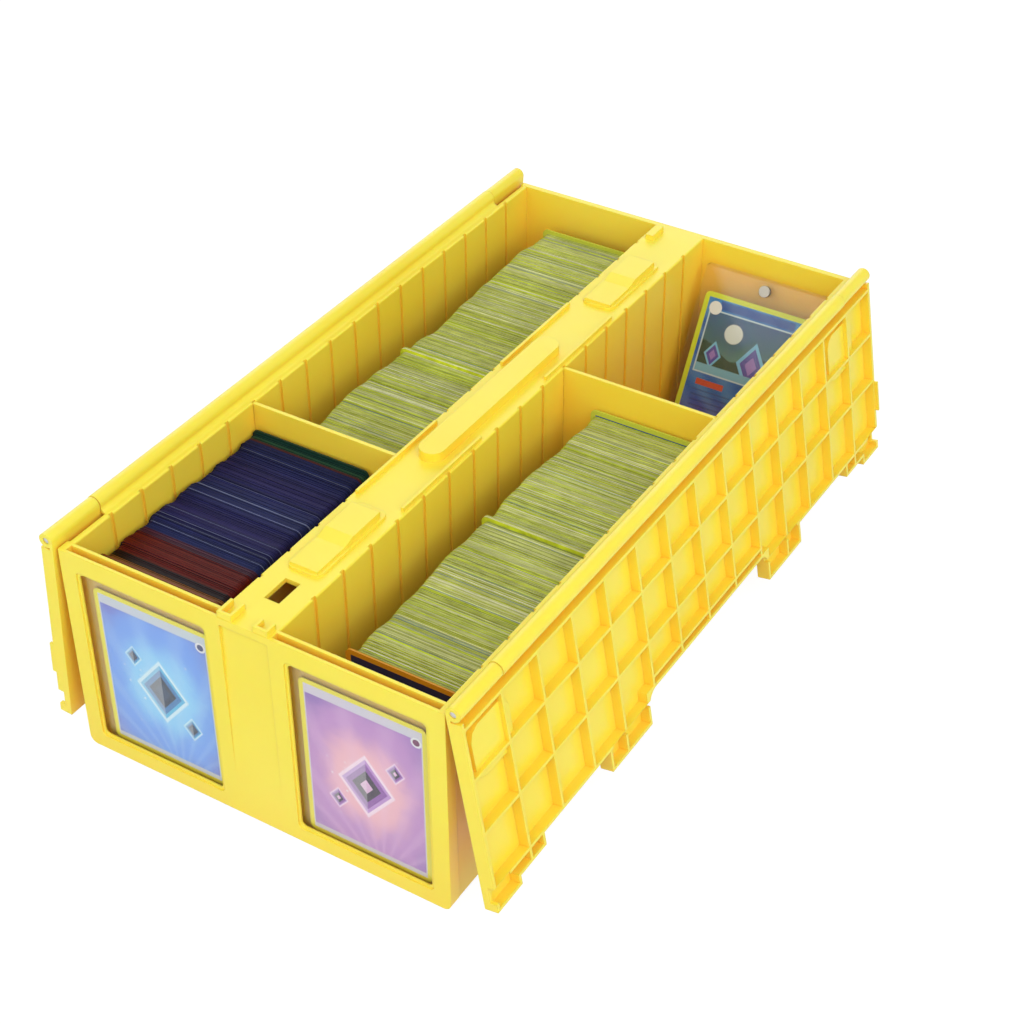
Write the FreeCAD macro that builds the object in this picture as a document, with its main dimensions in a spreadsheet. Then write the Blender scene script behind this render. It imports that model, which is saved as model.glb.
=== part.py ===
# Two-row trading card bin with hinged half lids, as a parametric assembly.
# Units are millimetres. +X is right, +Y is back, +Z is up.
# The origin is the middle of the bin's footprint, on the table it stands on.

import math
import os

import FreeCAD
import Part
import Sketcher
from FreeCAD import Placement, Rotation, Vector

doc = FreeCAD.newDocument("card_bin")
sheet = doc.addObject("Spreadsheet::Sheet", "dims")

SIZES = [
    # bin body
    ("bin_length", 380.5, "front face to rear face"),
    ("bin_height", 113.5, "table to rim"),
    ("panel_proud", 1.2, "front and rear panels past the side walls"),
    ("row_play", 4.2, "inside of a row wider than a display sleeve"),
    ("side_wall", 2.6, "side wall at the raised lands"),
    ("front_panel", 6.5, "front panel with its sleeve pockets"),
    ("rear_panel", 3.2, "rear panel"),
    ("side_lift", 2.0, "side walls end this far above the table"),
    ("panel_lift", 1.0, "front and rear panels end this far above the table"),
    ("foot_width", 21.8, "stacking foot, a loose fit in a lid's dimple"),
    ("foot_long", 23.0, "stacking foot"),
    ("foot_round", 5.0, "corners of a foot"),
    ("panel_round", 4.0, "lower corners of the panels"),
    ("floor_top", 9.0, "inside floor above the table"),
    ("floor_wall", 2.0, "thickness of the floor"),
    ("skirt_wall", 2.2, "skirt round the hollow underside"),
    ("divider_width", 28.8, "over the lands of the middle divider"),
    ("divider_wall", 2.8, "divider side at the lands"),
    ("divider_roof", 2.5, "top plate of the divider"),
    ("rim_round", 0.8, "softened inner rim edges"),
    ("rib_wall", 1.8, "stiffening ribs under the floor"),
    ("rib_step", 62.0, "spacing of the ribs under the floor"),
    ("centre_foot", 12.0, "foot of the web in the middle of the divider, along the bin"),
    ("centre_foot_wall", 1.6, "thickness of that foot"),
    # partition grooves
    ("groove_end", 20.0, "least room from the last groove to the rear face"),
    ("groove_step", 20.31, "groove to groove"),
    ("groove_first", 30.65, "front face to the first groove"),
    ("groove_width", 2.4, "along the row"),
    ("groove_depth", 1.2, "into the wall"),
    # windows and sleeve pockets in the front panel
    ("window_more", 4.6, "opening wider than a card"),
    ("window_drop", 10.4, "rim to the opening"),
    ("window_base", 10.1, "table to the opening"),
    ("window_inner", 7.2, "pocket's inner edge to the opening"),
    ("window_round", 2.5, "corners of the opening"),
    ("window_bevel", 1.3, "stepped border round the opening"),
    ("window_step", 0.7, "depth of the stepped border"),
    ("face_lip", 1.6, "panel in front of the sleeve"),
    ("pocket_play", 0.9, "front to back, round a sleeve in its pocket"),
    ("sleeve_rest", 0.05, "sleeve to the back of its pocket"),
    ("pocket_base", 6.2, "table to the bottom of the pocket"),
    ("pocket_inset", 0.2, "pocket past the divider's face"),
    ("pocket_more", 4.8, "pocket wider than a sleeve"),
    ("strip_half", 12.3, "half width of the sunk centre strip"),
    ("strip_sink", 1.3, "depth of the strip at its top"),
    ("strip_drop", 4.0, "rim to the top of the strip"),
    ("strip_base", 25.0, "table to where the strip runs out"),
    # hinge
    ("hinge_out", 5.9, "side wall to the hinge pin"),
    ("rim_gap", 0.3, "closed lid over the rim"),
    ("pin_radius", 1.5, "hinge rod"),
    ("pin_running", 0.05, "clearance round the rod in the lid"),
    ("pin_seat", 0.02, "clearance round the rod in the bin"),
    ("barrel_radius", 3.8, "hinge barrel of the bin"),
    ("barrel_inset", 29.5, "end of the bin to the hinge barrel"),
    ("ledge_thick", 2.0, "ledge that carries the barrel"),
    ("knuckle_radius", 3.6, "hinge knuckles of the lid"),
    ("knuckle_gap", 0.4, "barrel end to knuckle"),
    ("rod_inset", 0.4, "rod end below the knuckle's end face"),
    # lids
    ("lid_over", 1.6, "lid past the bin at each end"),
    ("meet_gap", 0.7, "long tabs' edge to the middle of the bin"),
    ("lid_end", 1.9, "end walls of the lid"),
    ("lid_plate", 1.8, "flat skin of the lid"),
    ("lid_depth", 6.6, "skin to rib edges"),
    ("lid_wall", 1.6, "outer walls and ribs"),
    ("lid_start", 4.35, "hinge pin to the skin's edge"),
    ("rib_first", 7.9, "hinge pin to the first long rib"),
    ("rib_second", 33.5, "hinge pin to the second long rib"),
    ("rib_third", 60.9, "hinge pin to the third long rib"),
    ("rib_edge", 5.7, "edge of the middle recess to the fourth long rib"),
    ("lid_bays", 7.0, "bays between the cross ribs in each half of the lid"),
    ("bay_inset", 1.17, "end of the lid to the end of its last bay"),
    ("edge_step", 5.3, "middle of the bin to the edge beside the corner tabs"),
    ("edge_recess", 12.0, "middle of the bin to the edge between the tabs"),
    ("edge_middle", 17.3, "middle of the bin to the edge of the middle recess"),
    ("corner_tab", 19.1, "corner tab along the lid, from its end"),
    ("step_run", 39.6, "end of the lid to the end of the stepped edge"),
    ("tab_out", 14.48, "third cross rib to a tab's outer end"),
    ("tab_in", 21.52, "third cross rib to a tab's inner end"),
    ("tab_round", 7.0, "concave corner beside a tab"),
    ("dimple_near", 13.0, "hinge pin to the stacking dimple"),
    ("dimple_width", 26.0, "stacking dimple across the lid"),
    ("dimple_long", 27.5, "stacking dimple along the lid"),
    ("dimple_front", 6.4, "front end of the lid to the front dimple"),
    ("dimple_back", 20.3, "rear end of the lid to the rear dimple"),
    ("dimple_rise", 2.8, "height of the dimple above the skin"),
    ("dimple_round", 6.0, "dimple corners"),
    ("catch_gap", 1.3, "finger land to the fourth long rib"),
    ("catch_width", 17.0, "finger land"),
    ("catch_drop", 2.0, "finger land below the rib edges"),
    ("catch_thick", 1.2, "finger land"),
    ("tilt_left", 3.95, "left lid's hang, from straight down"),
    ("tilt_right", 9.45, "right lid's hang, from straight down"),
    ("lid_clear", 0.5, "lid over the raised parts of the divider"),
    # raised parts on the divider
    ("slot_width", 7.7, "slot through the divider's roof"),
    ("slot_length", 14.9, "slot through the divider's roof"),
    ("slot_start", 20.1, "front face to the slot"),
    ("lip_height", 2.0, "edge lips"),
    ("lip_wall", 1.5, "edge lips"),
    ("lip_outer", 12.9, "middle to the lips' outer faces"),
    ("lip_near", 28.5, "middle of the bin to the lips' near ends"),
    ("lip_length", 63.5, "each lip"),
    ("pill_half", 6.4, "half width of the centre bar"),
    ("pill_height", 4.8, "centre bar"),
    ("pill_length", 112.0, "centre bar"),
    ("pad_half", 8.9, "half width of the pads' border"),
    ("pad_border", 1.3, "height of the pads' border"),
    ("pad_low", 2.5, "height of a pad's front plate"),
    ("pad_high", 4.2, "height of a pad's rear plate"),
    ("pad_length", 52.5, "each pad"),
    ("pad_front", 149.5, "middle of the bin to the front of the front pad"),
    ("pad_back", 98.0, "middle of the bin to the front of the rear pad"),
    ("pad_inset", 1.6, "plates in from the border"),
    ("cleat_height", 3.0, "small brackets at the front and rear"),
    ("cleat_wall", 1.5, "wall of a bracket"),
    ("cleat_width", 7.4, "front brackets across the divider"),
    ("cleat_left", 9.7, "left front bracket along the divider"),
    ("cleat_right", 6.0, "right front bracket along the divider"),
    ("cleat_rear", 12.0, "rear bracket along the divider"),
    ("cleat_rear_width", 4.3, "rear bracket across the divider"),
    ("cleat_rear_gap", 4.3, "rear bracket to the rear wall"),
    ("cleat_inset", 0.3, "front brackets behind the front face"),
    # partitions
    ("partition_thick", 2.0, "plate"),
    ("partition_side", 0.2, "clearance to each groove's bottom"),
    ("partition_drop", 0.5, "top below the rim"),
    ("partition_left_slot", 5.0, "groove number, the first being 0"),
    ("partition_right_slot", 10.0, "groove number, the first being 0"),
    # cards and holders
    ("card_width", 63.0, "bare card"),
    ("card_tall", 88.0, "bare card"),
    ("card_thick", 0.35, "bare card"),
    ("card_round", 3.0, "corners of a card"),
    ("sleeve_slack", 2.4, "card to a side seam"),
    ("sleeve_above", 11.7, "card to the top of its sleeve"),
    ("sleeve_thick", 2.4, "rigid display sleeve"),
    ("sleeve_skin", 0.7, "sheet of the sleeve"),
    ("sleeve_seam", 4.2, "welded side seams of the sleeve"),
    ("sleeve_base", 1.9, "welded bottom seam of the sleeve"),
    ("sleeve_left", -1.1, "left sleeve out from the middle of its pocket"),
    ("sleeve_right", 1.0, "right sleeve out from the middle of its pocket"),
    ("soft_sleeve", 3.5, "soft sleeve past its card"),
    ("stack_side", 0.6, "clearance of a stack to its wall"),
    ("front_cards_start", 27.0, "front face to the right-hand cards"),
    ("front_cards_end", 1.75, "right-hand cards to their partition"),
    ("dark_cards_start", 18.5, "front face to the dark cards"),
    ("dark_cards_end", 2.2, "dark cards to their partition"),
    ("rear_cards_start", 16.8, "partition to the rear left cards"),
    ("rear_cards_end", 12.5, "rear left cards to the rear face"),
    ("end_card", 0.9, "thickness of the coloured end cards"),
    # magnetic case
    ("case_side", 3.8, "card to the side of the hard case"),
    ("case_head", 14.4, "card to the top of the hard case"),
    ("case_shell", 3.1, "each shell"),
    ("case_bevel", 1.6, "sloped border of each shell"),
    ("case_lean", 30.0, "lean from upright, degrees"),
    ("case_gap", 0.35, "case off the floor and the rear wall"),
    ("case_margin", 4.0, "bottom of the case to the card"),
    ("magnet_radius", 3.0, "magnet disc"),
    ("magnet_thick", 1.4, "magnet disc"),
]

for row, (alias, value, note) in enumerate(SIZES, start=1):
    sheet.set("A%d" % row, alias)
    sheet.set("B%d" % row, str(value))
    sheet.set("C%d" % row, note)
    sheet.setAlias("B%d" % row, alias)
doc.recompute()
scratch = doc.addObject("Spreadsheet::Sheet", "scratch")
measured = {}


def bound(text):
    """Put the sheet's name before each alias in an expression."""
    words = []
    word = ""
    for letter in text + " ":
        if letter.isalnum() or letter in "_.":
            word += letter
            continue
        if word and word[0].isalpha() and word not in ("sin", "cos", "deg", "floor"):
            word = "dims." + word
        words.append(word + letter)
        word = ""
    return "".join(words).strip()


# Named places that several pieces share, written with the sheet's names.
FRONT = "-bin_length/2"
REAR = "bin_length/2"
FRONT_IN = "-bin_length/2 + front_panel"
REAR_IN = "bin_length/2 - rear_panel"
SLEEVE_WIDE = "(card_width + 2*sleeve_slack + 2*sleeve_seam)"
SLEEVE_TALL = "(sleeve_base + card_tall + sleeve_above)"
WALL_IN = "(divider_width/2 + " + SLEEVE_WIDE + " + row_play)"
WALL_OUT = "(" + WALL_IN + " + side_wall)"
PANEL_OUT = "(" + WALL_OUT + " + panel_proud)"
LAND = "divider_width/2"
POCKET_DEEP = "(sleeve_thick + pocket_play)"
STRIP_TOP = "(bin_height - strip_drop)"
RIM = "bin_height"
UNDER = "(floor_top - floor_wall)"
PIN_X = "(" + WALL_OUT + " + hinge_out)"
PIN_Z = "(bin_height + lid_depth - knuckle_radius + rim_gap)"
LID_HALF = "(bin_length/2 + lid_over)"
BARREL = "(bin_length - 2*barrel_inset)"
RIB_STEP = "((" + LID_HALF + " - bay_inset)/lid_bays)"
RIB_FOURTH = "(" + PIN_X + " - edge_middle - rib_edge)"
TAB_INNER = "(3*" + RIB_STEP + " - tab_in)"
TAB_OUTER = "(3*" + RIB_STEP + " + tab_out)"
LID_TOP = "(-knuckle_radius)"
LID_SKIN = "(lid_plate - knuckle_radius)"
LID_RIBS = "(lid_depth - knuckle_radius)"


def plane_of(body, role):
    """The body's own origin plane with this role."""
    for feature in body.Origin.OriginFeatures:
        if feature.Role == role:
            return feature
    raise RuntimeError("no plane " + role)


def sketch_on(body, name, role, height):
    """A sketch on an origin plane, moved along the plane's normal."""
    sketch = body.newObject("Sketcher::SketchObject", name)
    sketch.AttachmentSupport = [(plane_of(body, role), "")]
    sketch.MapMode = "FlatFace"
    sketch.setExpression("AttachmentOffset.Base.z", bound(height))
    return sketch


def add_outline(sketch, corners):
    """A closed outline whose corners are bound to expressions."""
    first = sketch.GeometryCount
    count = len(corners)
    spots = [Vector(measure(across), measure(along), 0) for across, along in corners]
    lines = []
    for index in range(count):
        lines.append(Part.LineSegment(spots[index], spots[(index + 1) % count]))
    sketch.addGeometry(lines, False)
    rules = []
    for index in range(count):
        here = first + index
        after = first + (index + 1) % count
        rules.append(Sketcher.Constraint("DistanceX", -1, 1, here, 1, spots[index].x))
        rules.append(Sketcher.Constraint("DistanceY", -1, 1, here, 1, spots[index].y))
        rules.append(Sketcher.Constraint("Coincident", here, 2, after, 1))
    start = sketch.ConstraintCount
    sketch.addConstraint(rules)
    for index, (across, along) in enumerate(corners):
        sketch.setExpression("Constraints[%d]" % (start + 3 * index), bound(across))
        sketch.setExpression("Constraints[%d]" % (start + 3 * index + 1), bound(along))


def measure(text):
    """The present value of an expression in the sheet's names."""
    if text not in measured:
        scratch.set("A1", "=" + bound(text))
        scratch.recompute()
        measured[text] = float(scratch.get("A1"))
    return measured[text]


def pin_point(sketch, geometry, point, across, along):
    """Bind one point of a sketch element to two expressions."""
    for kind, text in (("DistanceX", across), ("DistanceY", along)):
        now = measure(text)
        rule = sketch.addConstraint(Sketcher.Constraint(kind, -1, 1, geometry, point, now))
        sketch.setExpression("Constraints[%d]" % rule, bound(text))


def add_foot_rounded(sketch, left, right, low, high, radius):
    """A rectangle whose two lower corners are arcs."""
    x0, x1 = measure(left), measure(right)
    y0, y1, r = measure(low), measure(high), measure(radius)
    spots = [(x0, y1), (x0, y0 + r), (x0 + r, y0), (x1 - r, y0), (x1, y0 + r), (x1, y1)]
    low_end = low + " + " + radius
    names = [(left, high), (left, low_end), (left + " + " + radius, low),
             (right + " - " + radius, low), (right, low_end), (right, high)]
    pieces = []
    for start, end in ((0, 1), (2, 3), (4, 5), (5, 0)):
        line = Part.LineSegment(Vector(*spots[start], 0), Vector(*spots[end], 0))
        pieces.append(sketch.addGeometry(line, False))
        pin_point(sketch, pieces[-1], 1, *names[start])
    sketch.addConstraint(Sketcher.Constraint("Coincident", pieces[2], 2, pieces[3], 1))
    sketch.addConstraint(Sketcher.Constraint("Coincident", pieces[3], 2, pieces[0], 1))
    pin_point(sketch, pieces[0], 2, *names[1])
    pin_point(sketch, pieces[1], 2, *names[3])
    half_turn = math.pi
    for centre, turn, before, after in (((x0 + r, y0 + r), half_turn, (0, 2), (1, 1)),
                                        ((x1 - r, y0 + r), 1.5 * half_turn, (1, 2), (2, 1))):
        circle = Part.Circle(Vector(*centre, 0), Vector(0, 0, 1), r)
        arc = sketch.addGeometry(Part.ArcOfCircle(circle, turn, turn + half_turn / 2), False)
        sketch.addConstraint(Sketcher.Constraint("Coincident", arc, 1, pieces[before[0]], before[1]))
        sketch.addConstraint(Sketcher.Constraint("Coincident", arc, 2, pieces[after[0]], after[1]))
        rule = sketch.addConstraint(Sketcher.Constraint("Radius", arc, r))
        sketch.setExpression("Constraints[%d]" % rule, bound(radius))


def add_rectangle(sketch, left, right, low, high):
    """A rectangle between four bound limits."""
    add_outline(sketch, [(left, low), (right, low), (right, high), (left, high)])


def add_circle(sketch, across, along, radius):
    """A circle with its centre and radius bound."""
    centre = Vector(measure(across), measure(along), 0)
    circle = Part.Circle(centre, Vector(0, 0, 1), measure(radius))
    here = sketch.addGeometry(circle, False)
    pin_point(sketch, here, 3, across, along)
    rule = sketch.addConstraint(Sketcher.Constraint("Radius", here, measure(radius)))
    sketch.setExpression("Constraints[%d]" % rule, bound(radius))


def pad(body, sketch, length, backwards=False):
    """Add material from a sketch, and check that it was added."""
    doc.recompute()
    before = body.Shape.Volume if body.Tip else 0.0
    feature = body.newObject("PartDesign::Pad", sketch.Name + "_pad")
    feature.Profile = sketch
    feature.setExpression("Length", bound(length))
    feature.Reversed = backwards
    doc.recompute()
    if feature.Shape.Volume <= before:
        raise RuntimeError(feature.Name + " added nothing")
    return feature


def pocket(body, sketch, length, backwards=False):
    """Remove material with a sketch, and check that it was removed."""
    doc.recompute()
    before = body.Shape.Volume
    feature = body.newObject("PartDesign::Pocket", sketch.Name + "_cut")
    feature.Profile = sketch
    feature.setExpression("Length", bound(length))
    feature.Reversed = backwards
    doc.recompute()
    if feature.Shape.Volume >= before:
        raise RuntimeError(feature.Name + " cut nothing")
    return feature


def repeat(body, feature, role, step, count):
    """A linear pattern of a feature along one of the body's axes."""
    pattern = body.newObject("PartDesign::LinearPattern", feature.Name + "_row")
    pattern.Originals = [feature]
    pattern.Direction = (plane_of(body, role), [""])
    pattern.Mode = "Spacing"
    pattern.setExpression("Offset", bound(step))
    pattern.setExpression("Occurrences", bound(count))
    body.Tip = pattern
    doc.recompute()
    return pattern


def soften(body, name, radius, wanted):
    """Fillet the edges of the tip that a rule picks."""
    doc.recompute()
    base = body.Tip
    names = []
    for index, edge in enumerate(base.Shape.Edges, start=1):
        if len(edge.Vertexes) == 2 and wanted(edge):
            names.append("Edge%d" % index)
    if not names:
        raise RuntimeError(name + " found no edge")
    feature = body.newObject("PartDesign::Fillet", name)
    feature.Base = (base, names)
    feature.setExpression("Radius", bound(radius))
    body.Tip = feature
    doc.recompute()
    return feature


def runs_along(edge, axis):
    """True where a straight edge runs along this axis."""
    start, end = edge.Vertexes[0].Point, edge.Vertexes[1].Point
    return (end - start).cross(axis).Length < 0.001 and edge.Length > 0.01


def size(alias):
    """The present value of a named size."""
    return float(sheet.get(alias))


X_AXIS = Vector(1, 0, 0)
Y_AXIS = Vector(0, 1, 0)
Z_AXIS = Vector(0, 0, 1)


def negative(text):
    """The mirrored expression."""
    return "-(" + text + ")"


# ---------------------------------------------------------------- the bin
bin_body = doc.addObject("PartDesign::Body", "bin_tub")
bin_body.Label = "bin_tub"

plan = sketch_on(bin_body, "wall_plan", "XY_Plane", "side_lift")
add_rectangle(plan, negative(WALL_OUT), WALL_OUT, FRONT, REAR)
pad(bin_body, plan, "bin_height - side_lift")

face = sketch_on(bin_body, "front_outline", "XZ_Plane", "bin_length/2")
add_foot_rounded(face, negative(PANEL_OUT), PANEL_OUT, "panel_lift", RIM, "panel_round")
pad(bin_body, face, "front_panel", True)

back = sketch_on(bin_body, "rear_outline", "XZ_Plane", "rear_panel - bin_length/2")
add_foot_rounded(back, negative(PANEL_OUT), PANEL_OUT, "panel_lift", RIM, "panel_round")
pad(bin_body, back, "rear_panel", True)

rows = sketch_on(bin_body, "rows", "XY_Plane", RIM)
add_rectangle(rows, LAND, WALL_IN, FRONT_IN, REAR_IN)
add_rectangle(rows, negative(WALL_IN), negative(LAND), FRONT_IN, REAR_IN)
pocket(bin_body, rows, "bin_height - floor_top")


def is_row_rim(edge):
    middle = edge.CenterOfMass
    high = abs(middle.z - size("bin_height")) < 0.01
    inside = abs(middle.x) < measure(WALL_OUT) - 0.1
    return high and inside and runs_along(edge, Y_AXIS)


soften(bin_body, "row_rims", "rim_round", is_row_rim)

# Raised lands stay between the partition grooves.
grooves = sketch_on(bin_body, "grooves", "XY_Plane", RIM)
GROOVE_LOW = "groove_first - bin_length/2 - groove_width/2"
GROOVE_HIGH = "groove_first - bin_length/2 + groove_width/2"
WALL_GROOVE = WALL_IN + " + groove_depth"
LAND_GROOVE = LAND + " - groove_depth"
add_rectangle(grooves, WALL_IN + " - rim_round", WALL_GROOVE, GROOVE_LOW, GROOVE_HIGH)
add_rectangle(grooves, LAND_GROOVE, LAND + " + rim_round", GROOVE_LOW, GROOVE_HIGH)
add_rectangle(grooves, negative(WALL_GROOVE), negative(WALL_IN + " - rim_round"), GROOVE_LOW, GROOVE_HIGH)
add_rectangle(grooves, negative(LAND + " + rim_round"), negative(LAND_GROOVE), GROOVE_LOW, GROOVE_HIGH)
groove_cut = pocket(bin_body, grooves, "bin_height - floor_top")
repeat(bin_body, groove_cut, "Y_Axis", "groove_step",
       "floor((bin_length - groove_first - groove_end)/groove_step) + 1")

# The underside is hollow, with ribs, and open up into the middle divider.
hollow = sketch_on(bin_body, "underside", "XY_Plane", "0")
SKIRT = WALL_OUT + " - skirt_wall"
add_rectangle(hollow, negative(SKIRT), SKIRT, FRONT_IN, REAR_IN)
pocket(bin_body, hollow, UNDER, True)

ribs = sketch_on(bin_body, "floor_rib", "XY_Plane", "side_lift")
add_rectangle(ribs, negative(SKIRT), SKIRT, "-2*rib_step - rib_wall/2", "-2*rib_step + rib_wall/2")
rib_pad = pad(bin_body, ribs, UNDER + " - side_lift")
repeat(bin_body, rib_pad, "Y_Axis", "rib_step", "5")

feet = sketch_on(bin_body, "feet", "XY_Plane", "0")
FOOT_MID = PIN_X + " - dimple_near - dimple_width/2"
FOOT_FRONT = LID_HALF + " - dimple_front - dimple_long/2"
FOOT_BACK = LID_HALF + " - dimple_back - dimple_long/2"
for side, along, spot in (("", "-1*", FOOT_FRONT), ("", "", FOOT_BACK),
                          ("-1*", "", FOOT_FRONT), ("-1*", "-1*", FOOT_BACK)):
    centre_x = side + "(" + FOOT_MID + ")"
    centre_y = along + "(" + spot + ")"
    add_rectangle(feet, centre_x + " - foot_width/2", centre_x + " + foot_width/2",
                  centre_y + " - foot_long/2", centre_y + " + foot_long/2")
pad(bin_body, feet, UNDER)


def is_foot_corner(edge):
    middle = edge.CenterOfMass
    foot = middle.z < size("floor_top") and edge.BoundBox.ZMin < 0.001
    return foot and runs_along(edge, Z_AXIS)


soften(bin_body, "foot_corners", "foot_round", is_foot_corner)

cavity = sketch_on(bin_body, "divider_hollow", "XY_Plane", "0")
CAVITY = "divider_width/2 - divider_wall"
add_rectangle(cavity, negative(CAVITY), CAVITY, FRONT_IN, REAR_IN)
pocket(bin_body, cavity, "bin_height - divider_roof", True)

# A web with a small foot props the middle of the divider's roof.
web = sketch_on(bin_body, "divider_web", "XY_Plane", "0")
add_rectangle(web, negative(CAVITY), CAVITY, "-rib_wall/2", "rib_wall/2")
pad(bin_body, web, "bin_height - divider_roof")
web_foot = sketch_on(bin_body, "divider_web_foot", "XY_Plane", "0")
add_rectangle(web_foot, negative(CAVITY), CAVITY, "-centre_foot/2", "centre_foot/2")
pad(bin_body, web_foot, "centre_foot_wall")

# Sleeve pockets open at the rim, and windows look into them.
pockets = sketch_on(bin_body, "sleeve_pockets", "XY_Plane", RIM)
POCKET_LOW = FRONT + " + face_lip"
POCKET_HIGH = FRONT + " + face_lip + " + POCKET_DEEP
POCKET_NEAR = "(" + LAND + " - pocket_inset)"
POCKET_FAR = "(" + POCKET_NEAR + " + " + SLEEVE_WIDE + " + pocket_more)"
add_rectangle(pockets, POCKET_NEAR, POCKET_FAR, POCKET_LOW, POCKET_HIGH)
add_rectangle(pockets, negative(POCKET_FAR), negative(POCKET_NEAR), POCKET_LOW, POCKET_HIGH)
pocket(bin_body, pockets, "bin_height - pocket_base")

WINDOW_NEAR = "(" + POCKET_NEAR + " + window_inner)"
WINDOW_FAR = "(" + WINDOW_NEAR + " + card_width + window_more)"
WINDOW_TOP = "(bin_height - window_drop)"
border = sketch_on(bin_body, "window_steps", "XZ_Plane", "bin_length/2")
add_rectangle(border, WINDOW_NEAR + " - window_bevel", WINDOW_FAR + " + window_bevel",
              "window_base - window_bevel", WINDOW_TOP + " + window_bevel")
add_rectangle(border, negative(WINDOW_FAR + " + window_bevel"), negative(WINDOW_NEAR + " - window_bevel"),
              "window_base - window_bevel", WINDOW_TOP + " + window_bevel")
pocket(bin_body, border, "window_step")
windows = sketch_on(bin_body, "windows", "XZ_Plane", "bin_length/2")
add_rectangle(windows, WINDOW_NEAR, WINDOW_FAR, "window_base", WINDOW_TOP)
add_rectangle(windows, negative(WINDOW_FAR), negative(WINDOW_NEAR), "window_base", WINDOW_TOP)
pocket(bin_body, windows, "face_lip + " + POCKET_DEEP + "/2")


def is_window_corner(edge):
    middle = edge.CenterOfMass
    in_lip = middle.y < -size("bin_length") / 2 + size("face_lip") + 0.01
    across = measure(PANEL_OUT) - 6 > abs(middle.x) > size("strip_half") + 2
    return in_lip and across and runs_along(edge, Y_AXIS) and edge.Length < size("front_panel") - 0.1


soften(bin_body, "window_corners", "window_round", is_window_corner)

strip = sketch_on(bin_body, "centre_strip", "YZ_Plane", "-strip_half")
add_outline(strip, [(FRONT + " - 1", "strip_base"), (FRONT, "strip_base"),
                    (FRONT + " + strip_sink", STRIP_TOP), (FRONT + " - 1", STRIP_TOP)])
pocket(bin_body, strip, "2*strip_half", True)

# The hinge barrels stand on ledges along both side walls.
ledge = sketch_on(bin_body, "hinge_ledges", "XZ_Plane", BARREL + "/2")
barrel = sketch_on(bin_body, "hinge_barrels", "XZ_Plane", BARREL + "/2")
bore = sketch_on(bin_body, "hinge_bores", "XZ_Plane", BARREL + "/2 + 1")
for side in ("", "-1*"):
    corners = [
        (WALL_OUT + " - 0.5", RIM + " - ledge_thick"),
        (PIN_X + " - 0.6*barrel_radius", PIN_Z + " - 0.8*barrel_radius"),
        (PIN_X, PIN_Z),
        (PIN_X + " - 0.96*barrel_radius", PIN_Z + " - 0.28*barrel_radius"),
        (PIN_X + " - 1.06*barrel_radius", PIN_Z + " - 0.55*barrel_radius"),
        (PIN_X + " - 1.24*barrel_radius", PIN_Z + " - 0.77*barrel_radius"),
        (PIN_X + " - 1.52*barrel_radius", RIM),
        (WALL_OUT + " - 0.5", RIM),
    ]
    add_outline(ledge, [(side + "(" + across + ")", up) for across, up in corners])
    add_circle(barrel, side + PIN_X, PIN_Z, "barrel_radius")
    add_circle(bore, side + PIN_X, PIN_Z, "pin_radius + pin_seat")
pad(bin_body, ledge, BARREL, True)
pad(bin_body, barrel, BARREL, True)
pocket(bin_body, bore, BARREL + " + 2")

# Raised and cut details on top of the divider.
slot = sketch_on(bin_body, "divider_slot", "XY_Plane", RIM)
add_rectangle(slot, "-slot_width/2", "slot_width/2", FRONT + " + slot_start",
              FRONT + " + slot_start + slot_length")
pocket(bin_body, slot, "divider_roof + 1")

lips = sketch_on(bin_body, "edge_lips", "XY_Plane", RIM)
for side in ("", "-1*"):
    for along in ("", "-1*"):
        add_outline(lips, [
            (side + "lip_outer", along + "lip_near"),
            (side + "lip_outer", along + "(lip_near + lip_length)"),
            (side + "(lip_outer - lip_wall)", along + "(lip_near + lip_length)"),
            (side + "(lip_outer - lip_wall)", along + "lip_near"),
        ])
pad(bin_body, lips, "lip_height")

bar = sketch_on(bin_body, "centre_bar", "XY_Plane", RIM)
add_rectangle(bar, "-pill_half", "pill_half", "-pill_length/2", "pill_length/2")
pad(bin_body, bar, "pill_height")


def is_bar_end(edge):
    middle = edge.CenterOfMass
    high = edge.BoundBox.ZMin > size("bin_height") - 0.01
    at_end = abs(abs(middle.y) - size("pill_length") / 2) < 0.01
    at_side = abs(abs(middle.x) - size("pill_half")) < 0.01
    return high and at_end and at_side and runs_along(edge, Z_AXIS)


soften(bin_body, "bar_ends", "pill_half - 0.05", is_bar_end)

borders = sketch_on(bin_body, "pad_borders", "XY_Plane", RIM)
plates = sketch_on(bin_body, "pad_plates", "YZ_Plane", "pad_inset - pad_half")
for start in ("(-pad_front)", "pad_back"):
    add_rectangle(borders, "-pad_half", "pad_half", start, start + " + pad_length")
    add_outline(plates, [
        (start + " + pad_inset", RIM),
        (start + " + pad_inset", RIM + " + pad_low"),
        (start + " + 0.4*pad_length", RIM + " + pad_low"),
        (start + " + 0.53*pad_length", RIM + " + pad_high"),
        (start + " + pad_length - 3*pad_inset", RIM + " + pad_high"),
        (start + " + pad_length - 3*pad_inset", RIM),
    ])
pad(bin_body, borders, "pad_border")


def is_pad_corner(edge):
    middle = edge.CenterOfMass
    high = edge.BoundBox.ZMin > size("bin_height") - 0.01
    return high and abs(abs(middle.x) - size("pad_half")) < 0.01 and runs_along(edge, Z_AXIS)


soften(bin_body, "pad_corners", "pad_half/2", is_pad_corner)
pad(bin_body, plates, "2*pad_half - 2*pad_inset")

cleats = sketch_on(bin_body, "cleats", "XY_Plane", RIM)


def add_cleat(left, right, low, high):
    """A small bracket: a wall round three sides, open at the back."""
    add_outline(cleats, [
        (left, low), (right, low), (right, high), (right + " - cleat_wall", high),
        (right + " - cleat_wall", low + " + cleat_wall"),
        (left + " + cleat_wall", low + " + cleat_wall"),
        (left + " + cleat_wall", high), (left, high),
    ])


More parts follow.
